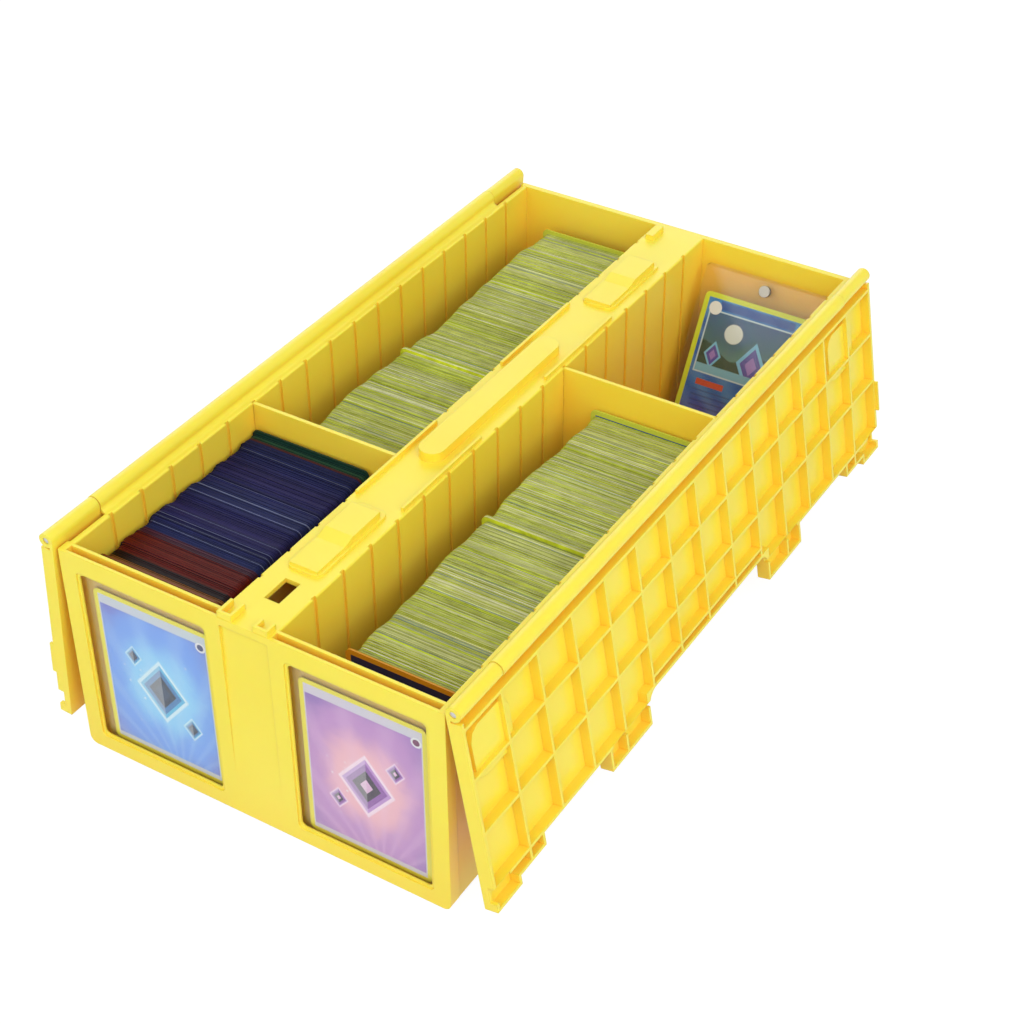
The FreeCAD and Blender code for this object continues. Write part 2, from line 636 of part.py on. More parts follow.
CLEAT_LOW = FRONT + " + cleat_inset"
add_cleat("-lip_outer", "-lip_outer + cleat_width", CLEAT_LOW, CLEAT_LOW + " + cleat_left")
add_cleat("lip_outer - cleat_width", "lip_outer", CLEAT_LOW, CLEAT_LOW + " + cleat_right")
add_rectangle(cleats, "lip_wall - lip_outer", "lip_wall - lip_outer + cleat_rear_width",
              REAR_IN + " - cleat_rear_gap - cleat_rear", REAR_IN + " - cleat_rear_gap")
pad(bin_body, cleats, "cleat_height")


# ---------------------------------------------------------------- the lids
# A lid is drawn with the hinge pin along Y through its own origin, its reach
# along X and its ribs on the +Z side. Both lids are the same moulding.
def make_lid(name):
    body = doc.addObject("PartDesign::Body", name)
    body.Label = name
    reach = PIN_X + " - meet_gap"
    step = PIN_X + " - edge_step"
    recess = PIN_X + " - edge_recess"
    middle = PIN_X + " - edge_middle"
    corner = LID_HALF + " - corner_tab"
    step_end = LID_HALF + " - step_run"
    outline = sketch_on(body, name + "_outline", "XY_Plane", LID_TOP)
    half = [(reach, TAB_INNER), (reach, TAB_OUTER), (recess, TAB_OUTER),
            (recess, step_end), (step, step_end), (step, corner), (reach, corner),
            (reach, LID_HALF)]
    edge = [(across, negative(along)) for across, along in reversed(half)]
    edge += [(middle, negative(TAB_INNER)), (middle, TAB_INNER)]
    edge += half
    add_outline(outline, [("lid_start", negative(LID_HALF))] + edge + [("lid_start", LID_HALF)])
    pad(body, outline, "lid_depth")

    def is_tab_corner(edge):
        spot = edge.CenterOfMass
        inner = abs(spot.x - measure(middle)) < 0.01
        return inner and abs(abs(spot.y) - measure(TAB_INNER)) < 0.01 and runs_along(edge, Z_AXIS)

    soften(body, name + "_tab_corners", "tab_round", is_tab_corner)

    # Cells between the ribs, open on the ribbed side, one column at a time.
    near_edges = ["rib_first + lid_wall/2", "rib_second + lid_wall/2", "rib_third + lid_wall/2"]
    far_edges = ["rib_second - lid_wall/2", "rib_third - lid_wall/2"]
    for column in range(7):
        low = "%d*" % column + RIB_STEP + " + lid_wall/2"
        high = "%d*" % (column + 1) + RIB_STEP + " - lid_wall/2"
        if column == 6:
            high = LID_HALF + " - lid_end"
        if column < 2:
            ends = far_edges + [RIB_FOURTH + " - lid_wall/2"]
        else:
            ends = far_edges + [recess + " - lid_wall"]
        for side in ("", "-1*"):
            mark = "p" if side == "" else "n"
            cells = sketch_on(body, name + "_cells_%s%d" % (mark, column), "XY_Plane", LID_RIBS)
            for near, far in zip(near_edges, ends):
                if column == 2 and near == near_edges[2]:
                    add_outline(cells, [
                        (near, side + "(" + low + ")"),
                        (near, side + "(" + high + ")"),
                        (far, side + "(" + high + ")"),
                        (far, side + "(" + TAB_INNER + " + lid_wall)"),
                        (middle + " - lid_wall", side + "(" + TAB_INNER + " + lid_wall)"),
                        (middle + " - lid_wall", side + "(" + low + ")"),
                    ])
                    continue
                add_outline(cells, [
                    (near, side + "(" + low + ")"), (far, side + "(" + low + ")"),
                    (far, side + "(" + high + ")"), (near, side + "(" + high + ")"),
                ])
            if column < 2:
                add_outline(cells, [
                    (RIB_FOURTH + " + lid_wall/2", side + "(" + low + ")"),
                    (middle + " - lid_wall", side + "(" + low + ")"),
                    (middle + " - lid_wall", side + "(" + high + ")"),
                    (RIB_FOURTH + " + lid_wall/2", side + "(" + high + ")"),
                ])
            pocket(body, cells, "lid_depth - lid_plate")
    tab_rib = "3*" + RIB_STEP
    last_rib = "6*" + RIB_STEP
    for side in ("", "-1*"):
        mark = "p" if side == "" else "n"
        cells = sketch_on(body, name + "_tab_cells_" + mark, "XY_Plane", LID_RIBS)
        for low, high, far in (
            (TAB_INNER + " + lid_wall", tab_rib + " - lid_wall/2", reach),
            (tab_rib + " + lid_wall/2", TAB_OUTER + " - lid_wall", reach),
            (step_end + " + lid_wall", last_rib + " - lid_wall/2", step),
        ):
            add_outline(cells, [
                (recess, side + "(" + low + ")"), (far + " - lid_wall", side + "(" + low + ")"),
                (far + " - lid_wall", side + "(" + high + ")"), (recess, side + "(" + high + ")"),
            ])
        add_outline(cells, [
            (recess, side + "(" + last_rib + " + lid_wall/2)"),
            (step + " - lid_wall", side + "(" + last_rib + " + lid_wall/2)"),
            (step + " - lid_wall", side + "(" + corner + " + lid_wall)"),
            (reach + " - lid_wall", side + "(" + corner + " + lid_wall)"),
            (reach + " - lid_wall", side + "(" + LID_HALF + " - lid_end)"),
            (recess, side + "(" + LID_HALF + " - lid_end)"),
        ])
        pocket(body, cells, "lid_depth - lid_plate")

    # The skin runs on past the first rib towards the hinge.
    strip = sketch_on(body, name + "_strip", "XY_Plane", LID_RIBS)
    add_rectangle(strip, "lid_start - 1", "rib_first - lid_wall/2",
                  negative(LID_HALF + " - lid_end"), LID_HALF + " - lid_end")
    pocket(body, strip, "lid_depth - lid_plate")

    # Knuckles at both ends, joined to the skin.
    knuckle_in = "(" + BARREL + "/2 + knuckle_gap)"
    for end, plane_at in (("front", LID_HALF), ("rear", negative(knuckle_in))):
        web = sketch_on(body, name + "_web_" + end, "XZ_Plane", plane_at)
        add_rectangle(web, "0", "lid_start + 1", LID_TOP, LID_SKIN)
        pad(body, web, LID_HALF + " - " + knuckle_in, True)
        knuckle = sketch_on(body, name + "_knuckle_" + end, "XZ_Plane", plane_at)
        add_circle(knuckle, "0", "0", "knuckle_radius")
        pad(body, knuckle, LID_HALF + " - " + knuckle_in, True)
    bore = sketch_on(body, name + "_bore", "XZ_Plane", LID_HALF + " + 1")
    add_circle(bore, "0", "0", "pin_radius + pin_running")
    pocket(body, bore, "2*" + LID_HALF + " + 2")

    # Stacking dimples: raised between the ribs, hollow on the outside.
    rise = sketch_on(body, name + "_dimples", "XY_Plane", LID_SKIN)
    sink = sketch_on(body, name + "_dimple_hollows", "XY_Plane", LID_TOP)
    for low in (negative(LID_HALF) + " + dimple_front", LID_HALF + " - dimple_back - dimple_long"):
        for sketch, inset in ((rise, "0"), (sink, "lid_wall")):
            left = "(dimple_near + " + inset + ")"
            right = "(dimple_near + dimple_width - " + inset + ")"
            start = "(" + low + " + " + inset + ")"
            finish = "(" + low + " + dimple_long - " + inset + ")"
            add_outline(sketch, [
                (left + " + dimple_round", start), (right + " - dimple_round", start),
                (right + " - 0.3*dimple_round", start + " + 0.3*dimple_round"),
                (right, start + " + dimple_round"), (right, finish + " - dimple_round"),
                (right + " - 0.3*dimple_round", finish + " - 0.3*dimple_round"),
                (right + " - dimple_round", finish), (left + " + dimple_round", finish),
                (left + " + 0.3*dimple_round", finish + " - 0.3*dimple_round"),
                (left, finish + " - dimple_round"), (left, start + " + dimple_round"),
                (left + " + 0.3*dimple_round", start + " + 0.3*dimple_round"),
            ])
    pad(body, rise, "dimple_rise")
    pocket(body, sink, "dimple_rise", True)

    # Room for the divider's lips and brackets under the closed lid.
    notches = sketch_on(body, name + "_lip_notches", "XY_Plane", LID_RIBS)
    lip_near = PIN_X + " - lip_outer - lid_clear"
    lip_far = PIN_X + " - lip_outer + lip_wall + lid_clear"
    for side in ("", "-1*"):
        add_outline(notches, [
            (lip_near, side + "(lip_near - 1)"), (lip_far, side + "(lip_near - 1)"),
            (lip_far, side + "(lip_near + lip_length + 2*lid_clear)"),
            (lip_near, side + "(lip_near + lip_length + 2*lid_clear)"),
        ])
    pocket(body, notches, "lip_height - rim_gap + lid_clear")
    gates = sketch_on(body, name + "_cleat_notches", "XY_Plane", LID_RIBS)
    for side in ("", "-1*"):
        add_outline(gates, [
            (lip_near, side + "(" + LID_HALF + " - lid_over - cleat_left - 1)"),
            (PIN_X + " - lip_outer + cleat_width + lid_clear",
             side + "(" + LID_HALF + " - lid_over - cleat_left - 1)"),
            (PIN_X + " - lip_outer + cleat_width + lid_clear", side + "(" + LID_HALF + " + 1)"),
            (lip_near, side + "(" + LID_HALF + " + 1)"),
        ])
    pocket(body, gates, "cleat_height - rim_gap + lid_clear")

    # A finger land drops over the outside of one panel.
    catch = sketch_on(body, name + "_catch", "XY_Plane", LID_SKIN)
    catch_far = RIB_FOURTH + " - catch_gap"
    add_rectangle(catch, catch_far + " - catch_width", catch_far, LID_HALF + " - catch_thick", LID_HALF)
    pad(body, catch, "lid_depth - lid_plate + catch_drop")
    return body


moulding = make_lid("lid_moulding")
lid_right = doc.addObject("PartDesign::Body", "lid_right")
lid_left = doc.addObject("PartDesign::Body", "lid_left")
for lid in (lid_right, lid_left):
    lid.Label = lid.Name
    lid.BaseFeature = moulding
for lid, facing, tilt, side in ((lid_right, "0", "tilt_right", "1"), (lid_left, "180", "tilt_left", "-1")):
    lid.setExpression("Placement.Base.x", bound(side + "*" + PIN_X))
    lid.setExpression("Placement.Base.z", bound(PIN_Z))
    turn = Rotation(Z_AXIS, float(facing)).multiply(Rotation(Y_AXIS, 90 - size(tilt)))
    lid.Placement = Placement(Vector(0, 0, 0), turn)
    doc.recompute()


# ---------------------------------------------------------------- plain pieces
def place(piece, across, along, up):
    """Bind a piece's own placement."""
    piece.setExpression("Placement.Base.x", bound(across))
    piece.setExpression("Placement.Base.y", bound(along))
    piece.setExpression("Placement.Base.z", bound(up))


def block(name, wide, deep, tall, across="0", along="0", up="0"):
    """A bound box. The place given is its low corner."""
    piece = doc.addObject("Part::Box", name)
    piece.Label = name
    piece.setExpression("Length", bound(wide))
    piece.setExpression("Width", bound(deep))
    piece.setExpression("Height", bound(tall))
    place(piece, across, along, up)
    return piece


def upright_card(name, wide, tall, thick, rounding):
    """A standing card with round corners, its lower left corner at the body's origin."""
    body = doc.addObject("PartDesign::Body", name)
    body.Label = name
    face = sketch_on(body, name + "_face", "XZ_Plane", "0")
    add_rectangle(face, "0", wide, "0", tall)
    pad(body, face, thick, True)
    soften(body, name + "_corners", rounding, lambda edge: runs_along(edge, Y_AXIS))
    return body


for side, across in (("left", "-1*" + PIN_X), ("right", PIN_X)):
    rod = doc.addObject("Part::Cylinder", "hinge_rod_" + side)
    rod.Label = "hinge_rod_" + side
    rod.setExpression("Radius", bound("pin_radius"))
    rod.setExpression("Height", bound("2*" + LID_HALF + " - 2*rod_inset"))
    rod.Placement = Placement(Vector(0, 0, 0), Rotation(X_AXIS, -90))
    place(rod, across, "rod_inset - " + LID_HALF, PIN_Z)

PARTITION_WIDE = "(" + WALL_IN + " - " + LAND + " + 2*groove_depth - 2*partition_side)"
PARTITION_AT = "(groove_first - bin_length/2 + partition_%s_slot*groove_step)"
PARTITION_TALL = "(bin_height - floor_top - partition_drop)"
for side, across in (("left", "-1*(" + WALL_IN + " + groove_depth - partition_side)"),
                     ("right", LAND + " - groove_depth + partition_side")):
    name = "partition_" + side
    plate = upright_card(name, PARTITION_WIDE, PARTITION_TALL, "partition_thick", "0.6*groove_depth")
    along = PARTITION_AT % side + " - partition_thick/2"
    place(plate, across, along, "floor_top")

# Rigid display sleeves stand in the pockets behind the windows.
SLEEVE_AT = POCKET_HIGH + " - sleeve_rest - sleeve_thick"
POCKET_MIDDLE = "(" + POCKET_NEAR + "/2 + " + POCKET_FAR + "/2)"
for side, out in (("left", "-1*"), ("right", "")):
    middle = out + "(" + POCKET_MIDDLE + " + sleeve_" + side + ")"
    name = "display_sleeve_" + side
    outer = block(name + "_outer", SLEEVE_WIDE, "sleeve_thick", SLEEVE_TALL)
    inner = block(name + "_inner", SLEEVE_WIDE + " - 2*sleeve_seam", "sleeve_thick - 2*sleeve_skin",
                  SLEEVE_TALL, "sleeve_seam", "sleeve_skin", "sleeve_base")
    sleeve = doc.addObject("Part::Cut", name)
    sleeve.Label = name
    sleeve.Base = outer
    sleeve.Tool = inner
    place(sleeve, middle + " - " + SLEEVE_WIDE + "/2", SLEEVE_AT, "pocket_base")
    card = upright_card("display_card_" + side, "card_width", "card_tall", "card_thick", "card_round")
    place(card, middle + " - card_width/2",
          SLEEVE_AT + " + sleeve_thick/2 - card_thick/2", "pocket_base + sleeve_base")

# Rows of upright cards, with a coloured card at some ends.
LEFT_PLATE = PARTITION_AT % "left"
RIGHT_PLATE = PARTITION_AT % "right"
STACKS = (
    ("cards_dark", "stack_side - " + WALL_IN, "soft_sleeve", FRONT + " + dark_cards_start",
     LEFT_PLATE + " - partition_thick/2 - dark_cards_end"),
    ("cards_rear", "-1*(" + LAND + " + stack_side + card_width)", "0",
     LEFT_PLATE + " + partition_thick/2 + rear_cards_start", REAR + " - rear_cards_end"),
    ("cards_front", WALL_IN + " - stack_side - card_width", "0", FRONT + " + front_cards_start",
     RIGHT_PLATE + " - partition_thick/2 - front_cards_end"),
)
for name, across, more, start, end in STACKS:
    wide = "card_width + " + more
    tall = "card_tall + " + more
    front_card = upright_card(name + "_first", wide, tall, "end_card", "card_round")
    place(front_card, across, start, "floor_top")
    length = "(" + end + ") - (" + start + ") - 2*end_card"
    rest = upright_card(name + "_stack", wide, tall, length, "card_round")
    place(rest, across, start + " + end_card", "floor_top")
    last_card = upright_card(name + "_last", wide, tall, "end_card", "card_round")
    place(last_card, across, end + " - end_card", "floor_top")

# The hard case leans back in the rear right compartment. It is drawn standing
# at its own origin with its back at Y = 0, then leaned against the rear wall.
CASE_WIDE = "(card_width + 2*case_side)"
CASE_TALL = "(case_margin + card_tall + case_head)"
MAGNET_UP = CASE_TALL + "/2 + case_margin/2 + card_tall/2 + 0.5"
CASE_ACROSS = "(" + LAND + " + " + WALL_IN + " - " + CASE_WIDE + ")/2"
lean = size("case_lean")
LEAN_SIN = "sin(case_lean * 1 deg)"
LEAN_COS = "cos(case_lean * 1 deg)"


def lean_back(piece, across, out, up):
    """Turn a piece with the case, at a place in the case's own frame."""
    piece.Placement = Placement(Vector(0, 0, 0), Rotation(X_AXIS, -lean))
    along = REAR_IN + " - case_gap - (" + CASE_TALL + " - case_bevel)*" + LEAN_SIN
    low = "floor_top + case_gap - case_bevel*" + LEAN_SIN
    piece.setExpression("Placement.Base.x", bound(CASE_ACROSS + " + " + across))
    piece.setExpression("Placement.Base.y", bound(
        along + " + (" + out + ")*" + LEAN_COS + " + (" + up + ")*" + LEAN_SIN))
    piece.setExpression("Placement.Base.z", bound(
        low + " - (" + out + ")*" + LEAN_SIN + " + (" + up + ")*" + LEAN_COS))


def case_shell(name, card_side):
    """One clear shell with a sloped border and half of the card's recess."""
    body = doc.addObject("PartDesign::Body", name)
    body.Label = name
    face = sketch_on(body, name + "_face", "XZ_Plane", "0")
    add_rectangle(face, "0", CASE_WIDE, "0", CASE_TALL)
    pad(body, face, "case_shell", True)
    soften(body, name + "_corners", "card_round", lambda edge: runs_along(edge, Y_AXIS))
    recess_at = "-case_shell" if card_side == "far" else "0"
    recess = sketch_on(body, name + "_recess", "XZ_Plane", recess_at)
    left = "(case_side - 0.5)"
    add_rectangle(recess, left, left + " + card_width + 1", "case_margin - 0.5",
                  "case_margin + card_tall + 0.5")
    pocket(body, recess, "card_thick", card_side == "far")
    hole = sketch_on(body, name + "_magnet_seat", "XZ_Plane", recess_at)
    add_circle(hole, CASE_WIDE + "/2", MAGNET_UP, "magnet_radius + 0.1")
    pocket(body, hole, "magnet_thick", card_side == "far")
    outside = 0.0 if card_side == "far" else size("case_shell")

    def is_outer_border(edge):
        return abs(edge.BoundBox.YMin - outside) < 0.001 and abs(edge.BoundBox.YMax - outside) < 0.001

    names = []
    for index, edge in enumerate(body.Shape.Edges, start=1):
        if is_outer_border(edge):
            names.append("Edge%d" % index)
    base = body.Tip
    bevel = body.newObject("PartDesign::Chamfer", name + "_border")
    bevel.Base = (base, names)
    bevel.setExpression("Size", bound("case_bevel"))
    body.Tip = bevel
    doc.recompute()
    return body


lean_back(case_shell("case_front_shell", "far"), "0", "-2*case_shell", "0")
lean_back(case_shell("case_rear_shell", "near"), "0", "-1*case_shell", "0")
case_card = upright_card("case_card", "card_width", "card_tall", "card_thick", "card_round")
lean_back(case_card, "case_side", "-1*case_shell - card_thick/2", "case_margin")
MAGNETS = (
    ("case_magnet_front", "-1*case_shell - magnet_thick + 0.05"),
    ("case_magnet_rear", "0.05 - case_shell"),
)
for name, out in MAGNETS:
    disc = doc.addObject("Part::Cylinder", name)
    disc.Label = name
    disc.setExpression("Radius", bound("magnet_radius"))
    disc.setExpression("Height", bound("magnet_thick - 0.1"))
    # The disc's axis is turned from Z to the case's front-to-back direction.
    lean_back(disc, CASE_WIDE + "/2", out, MAGNET_UP)
    disc.Placement = Placement(disc.Placement.Base, Rotation(X_AXIS, -lean).multiply(Rotation(X_AXIS, -90)))

doc.recompute()

NODES = [
    "bin_tub", "hinge_rod_left", "hinge_rod_right", "lid_left", "lid_right",
    "partition_left", "partition_right", "display_sleeve_left", "display_sleeve_right",
    "display_card_left", "display_card_right", "cards_dark_first", "cards_dark_stack",
    "cards_dark_last", "cards_rear_first", "cards_rear_stack", "cards_rear_last",
    "cards_front_first", "cards_front_stack", "cards_front_last", "case_front_shell",
    "case_rear_shell", "case_card", "case_magnet_front", "case_magnet_rear",
]
doc.removeObject("scratch")
doc.recompute()
for thing in doc.Objects:
    if "Invalid" in thing.State or "Error" in thing.State:
        raise RuntimeError("failed object " + thing.Name)
for label in NODES:
    piece = doc.getObjectsByLabel(label)[0]
    if piece.Shape.isNull() or not piece.Shape.isValid():
        raise RuntimeError("bad shape " + label)
os.makedirs("parts", exist_ok=True)
for label in NODES:
    doc.getObjectsByLabel(label)[0].Shape.exportStep("parts/" + label + ".step")
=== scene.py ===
# Looks of the two-row trading card bin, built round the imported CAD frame.
# Blender 4.5. Metres, in the CAD frame: +X right, +Y back, +Z up.
import math
import random

import bpy
import bmesh
from mathutils import Matrix, Vector


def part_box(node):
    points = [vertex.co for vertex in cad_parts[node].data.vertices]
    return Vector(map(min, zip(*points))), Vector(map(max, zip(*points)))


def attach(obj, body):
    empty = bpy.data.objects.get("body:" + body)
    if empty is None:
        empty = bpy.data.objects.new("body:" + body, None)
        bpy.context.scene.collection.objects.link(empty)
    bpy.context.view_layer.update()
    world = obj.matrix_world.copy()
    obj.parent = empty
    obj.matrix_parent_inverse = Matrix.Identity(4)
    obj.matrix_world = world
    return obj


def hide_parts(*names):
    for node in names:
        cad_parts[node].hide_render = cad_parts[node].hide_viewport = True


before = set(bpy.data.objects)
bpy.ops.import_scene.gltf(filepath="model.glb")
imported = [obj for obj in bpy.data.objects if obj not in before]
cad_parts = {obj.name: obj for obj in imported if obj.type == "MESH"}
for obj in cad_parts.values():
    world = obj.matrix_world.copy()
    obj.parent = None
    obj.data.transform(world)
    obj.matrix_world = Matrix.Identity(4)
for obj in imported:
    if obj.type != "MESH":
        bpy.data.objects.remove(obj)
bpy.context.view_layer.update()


# ------------------------------------------------------------ node helpers
def new_material(name):
    """An empty node material with its output and a node adder."""
    mat = bpy.data.materials.new(name)
    mat.use_nodes = True
    tree = mat.node_tree
    tree.nodes.clear()
    output = tree.nodes.new("ShaderNodeOutputMaterial")
    return mat, tree, output


def add(tree, kind, **settings):
    """A node with its properties and input values set."""
    node = tree.nodes.new(kind)
    for key, value in settings.items():
        if hasattr(node, key):
            setattr(node, key, value)
        else:
            node.inputs[key.replace("_", " ")].default_value = value
    return node


def join(tree, source, target):
    tree.links.new(source, target)


def srgb(red, green, blue):
    """Eight-bit screen colour to linear RGBA."""
    out = []
    for value in (red, green, blue):
        share = value / 255
        out.append(share / 12.92 if share <= 0.04045 else ((share + 0.055) / 1.055) ** 2.4)
    return (*out, 1.0)


def grey(value):
    return (value, value, value, 1.0)


WHITE = grey(1.0)
BLACK = grey(0.0)


def ramp(tree, stops, factor=None, interpolation="LINEAR"):
    """A colour ramp from (place, colour) stops."""
    node = tree.nodes.new("ShaderNodeValToRGB")
    node.color_ramp.interpolation = interpolation
    marks = node.color_ramp.elements
    while len(marks) > 1:
        marks.remove(marks[-1])
    marks[0].position, marks[0].color = stops[0]
    for place, colour in stops[1:]:
        marks.new(place).color = colour
    if factor is not None:
        join(tree, factor, node.inputs["Fac"])
    return node


def mix_colour(tree, factor, first, second, blend="MIX"):
    """A colour mix; each input is a socket or a constant."""
    node = tree.nodes.new("ShaderNodeMix")
    node.data_type = "RGBA"
    node.blend_type = blend
    for value, socket in ((factor, node.inputs[0]), (first, node.inputs[6]), (second, node.inputs[7])):
        if hasattr(value, "links"):
            join(tree, value, socket)
        else:
            socket.default_value = value
    return node.outputs[2]


def math_node(tree, operation, first, second=None, third=None, clamp=False):
    node = tree.nodes.new("ShaderNodeMath")
    node.operation = operation
    node.use_clamp = clamp
    for index, value in enumerate((first, second, third)):
        if value is None:
            continue
        if hasattr(value, "links"):
            join(tree, value, node.inputs[index])
        else:
            node.inputs[index].default_value = value
    return node.outputs[0]


# ------------------------------------------------------------ yellow plastic
YELLOW_DARKEST = srgb(246, 225, 62)
YELLOW_MIDDLE = srgb(248, 230, 70)
YELLOW_PALEST = srgb(250, 234, 80)
# The orange painted into corners and recesses as shade, and how far the occlusion test reaches.
YELLOW_PAINTED_SHADE = srgb(255, 188, 64)
PAINTED_SHADE_REACH = 0.13
EDGE_ROUND = 0.0006
LIGHT_DEPTH = 0.0025
CLOUD_STEP = 1.7


def yellow_plastic(name, seed):
    """Moulded polypropylene: soft gloss, faint flow marks, rounded edges, and painted shade in recesses."""
    mat, tree, output = new_material(name)
    place = add(tree, "ShaderNodeTexCoord")
    shift = add(tree, "ShaderNodeMapping")
    shift.inputs["Location"].default_value = (seed, seed * 0.37, seed * 0.71)
    join(tree, place.outputs["Object"], shift.inputs["Vector"])
    cloud = add(tree, "ShaderNodeTexNoise", Scale=9.0, Detail=4.0, Roughness=0.55)
    join(tree, shift.outputs["Vector"], cloud.inputs["Vector"])
    base = ramp(tree, [(0.30, YELLOW_DARKEST), (0.50, YELLOW_MIDDLE), (0.72, YELLOW_PALEST)],
                cloud.outputs["Fac"])
    # Painted shade: ambient occlusion pushes the colour to a deeper orange in corners, grooves and recesses,
    # standing in for light that reaches them only after several bounces.
    occlusion = add(tree, "ShaderNodeAmbientOcclusion", samples=6)
    occlusion.inputs["Distance"].default_value = PAINTED_SHADE_REACH
    # Mask of the painted shade: strongest where the occlusion is deepest.
    deep = ramp(tree, [(0.10, grey(0.66)), (0.62, BLACK)], occlusion.outputs["AO"])
    colour = mix_colour(tree, deep.outputs["Color"], base.outputs["Color"], YELLOW_PAINTED_SHADE)
    grain = add(tree, "ShaderNodeTexNoise", Scale=900.0, Detail=3.0, Roughness=0.6)
    join(tree, shift.outputs["Vector"], grain.inputs["Vector"])
    flow = add(tree, "ShaderNodeTexNoise", Scale=38.0, Detail=2.0, Roughness=0.5)
    join(tree, shift.outputs["Vector"], flow.inputs["Vector"])
    rough = ramp(tree, [(0.3, grey(0.30)), (0.7, grey(0.42))], flow.outputs["Fac"])
    round_edges = add(tree, "ShaderNodeBevel", samples=4)
    round_edges.inputs["Radius"].default_value = EDGE_ROUND
    dents = add(tree, "ShaderNodeBump")
    dents.inputs["Strength"].default_value = 0.05
    dents.inputs["Distance"].default_value = 0.0003
    join(tree, grain.outputs["Fac"], dents.inputs["Height"])
    join(tree, round_edges.outputs["Normal"], dents.inputs["Normal"])
    ripple = add(tree, "ShaderNodeBump")
    ripple.inputs["Strength"].default_value = 0.06
    ripple.inputs["Distance"].default_value = 0.002
    join(tree, flow.outputs["Fac"], ripple.inputs["Height"])
    join(tree, dents.outputs["Normal"], ripple.inputs["Normal"])
    shader = add(tree, "ShaderNodeBsdfPrincipled")
    shader.inputs["Subsurface Weight"].default_value = 0.25
    shader.inputs["Subsurface Radius"].default_value = (1.0, 0.38, 0.05)
    shader.inputs["Subsurface Scale"].default_value = LIGHT_DEPTH
    shader.inputs["IOR"].default_value = 1.47
    join(tree, colour, shader.inputs["Base Color"])
    join(tree, rough.outputs["Color"], shader.inputs["Roughness"])
    join(tree, ripple.outputs["Normal"], shader.inputs["Normal"])
    join(tree, shader.outputs["BSDF"], output.inputs["Surface"])
    return mat


def set_material(name, mat):
    """Give a carried-over CAD node a better material."""
    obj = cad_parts[name]
    for slot in obj.material_slots:
        slot.material = mat


for number, name in enumerate(("bin_tub", "lid_left", "lid_right", "partition_left", "partition_right")):
    set_material(name, yellow_plastic("yellow_" + name, number * CLOUD_STEP))


# ------------------------------------------------------------ steel and magnets
def turned_steel(name, colour, roughness):
    """Drawn wire or plated disc: fine lengthwise streaks in the gloss."""
    mat, tree, output = new_material(name)
    place = add(tree, "ShaderNodeTexCoord")
    stretch = add(tree, "ShaderNodeMapping")
    stretch.inputs["Scale"].default_value = (1400.0, 60.0, 1400.0)
    join(tree, place.outputs["Object"], stretch.inputs["Vector"])
    streak = add(tree, "ShaderNodeTexNoise", Scale=1.0, Detail=4.0)
    join(tree, stretch.outputs["Vector"], streak.inputs["Vector"])
    dull = [0.86 * channel for channel in colour]
    tint = ramp(tree, [(0.35, (*dull, 1)), (0.65, (*colour, 1))], streak.outputs["Fac"])
    rough = ramp(tree, [(0.3, grey(roughness)), (0.7, grey(roughness + 0.14))], streak.outputs["Fac"])
    dents = add(tree, "ShaderNodeBump")
    dents.inputs["Strength"].default_value = 0.15
    dents.inputs["Distance"].default_value = 0.0001
    join(tree, streak.outputs["Fac"], dents.inputs["Height"])
    shader = add(tree, "ShaderNodeBsdfPrincipled", Metallic=1.0)
    join(tree, tint.outputs["Color"], shader.inputs["Base Color"])
    join(tree, rough.outputs["Color"], shader.inputs["Roughness"])
    join(tree, dents.outputs["Normal"], shader.inputs["Normal"])
    join(tree, shader.outputs["BSDF"], output.inputs["Surface"])
    return mat


ROD_STEEL = (0.62, 0.62, 0.63)
ROD_ROUGHNESS = 0.28
MAGNET_NICKEL = (0.36, 0.35, 0.31)
MAGNET_ROUGHNESS = 0.40
for name in ("hinge_rod_left", "hinge_rod_right"):
    set_material(name, turned_steel(name + "_steel", ROD_STEEL, ROD_ROUGHNESS))
for name in ("case_magnet_front", "case_magnet_rear"):
    set_material(name, turned_steel(name + "_nickel", MAGNET_NICKEL, MAGNET_ROUGHNESS))


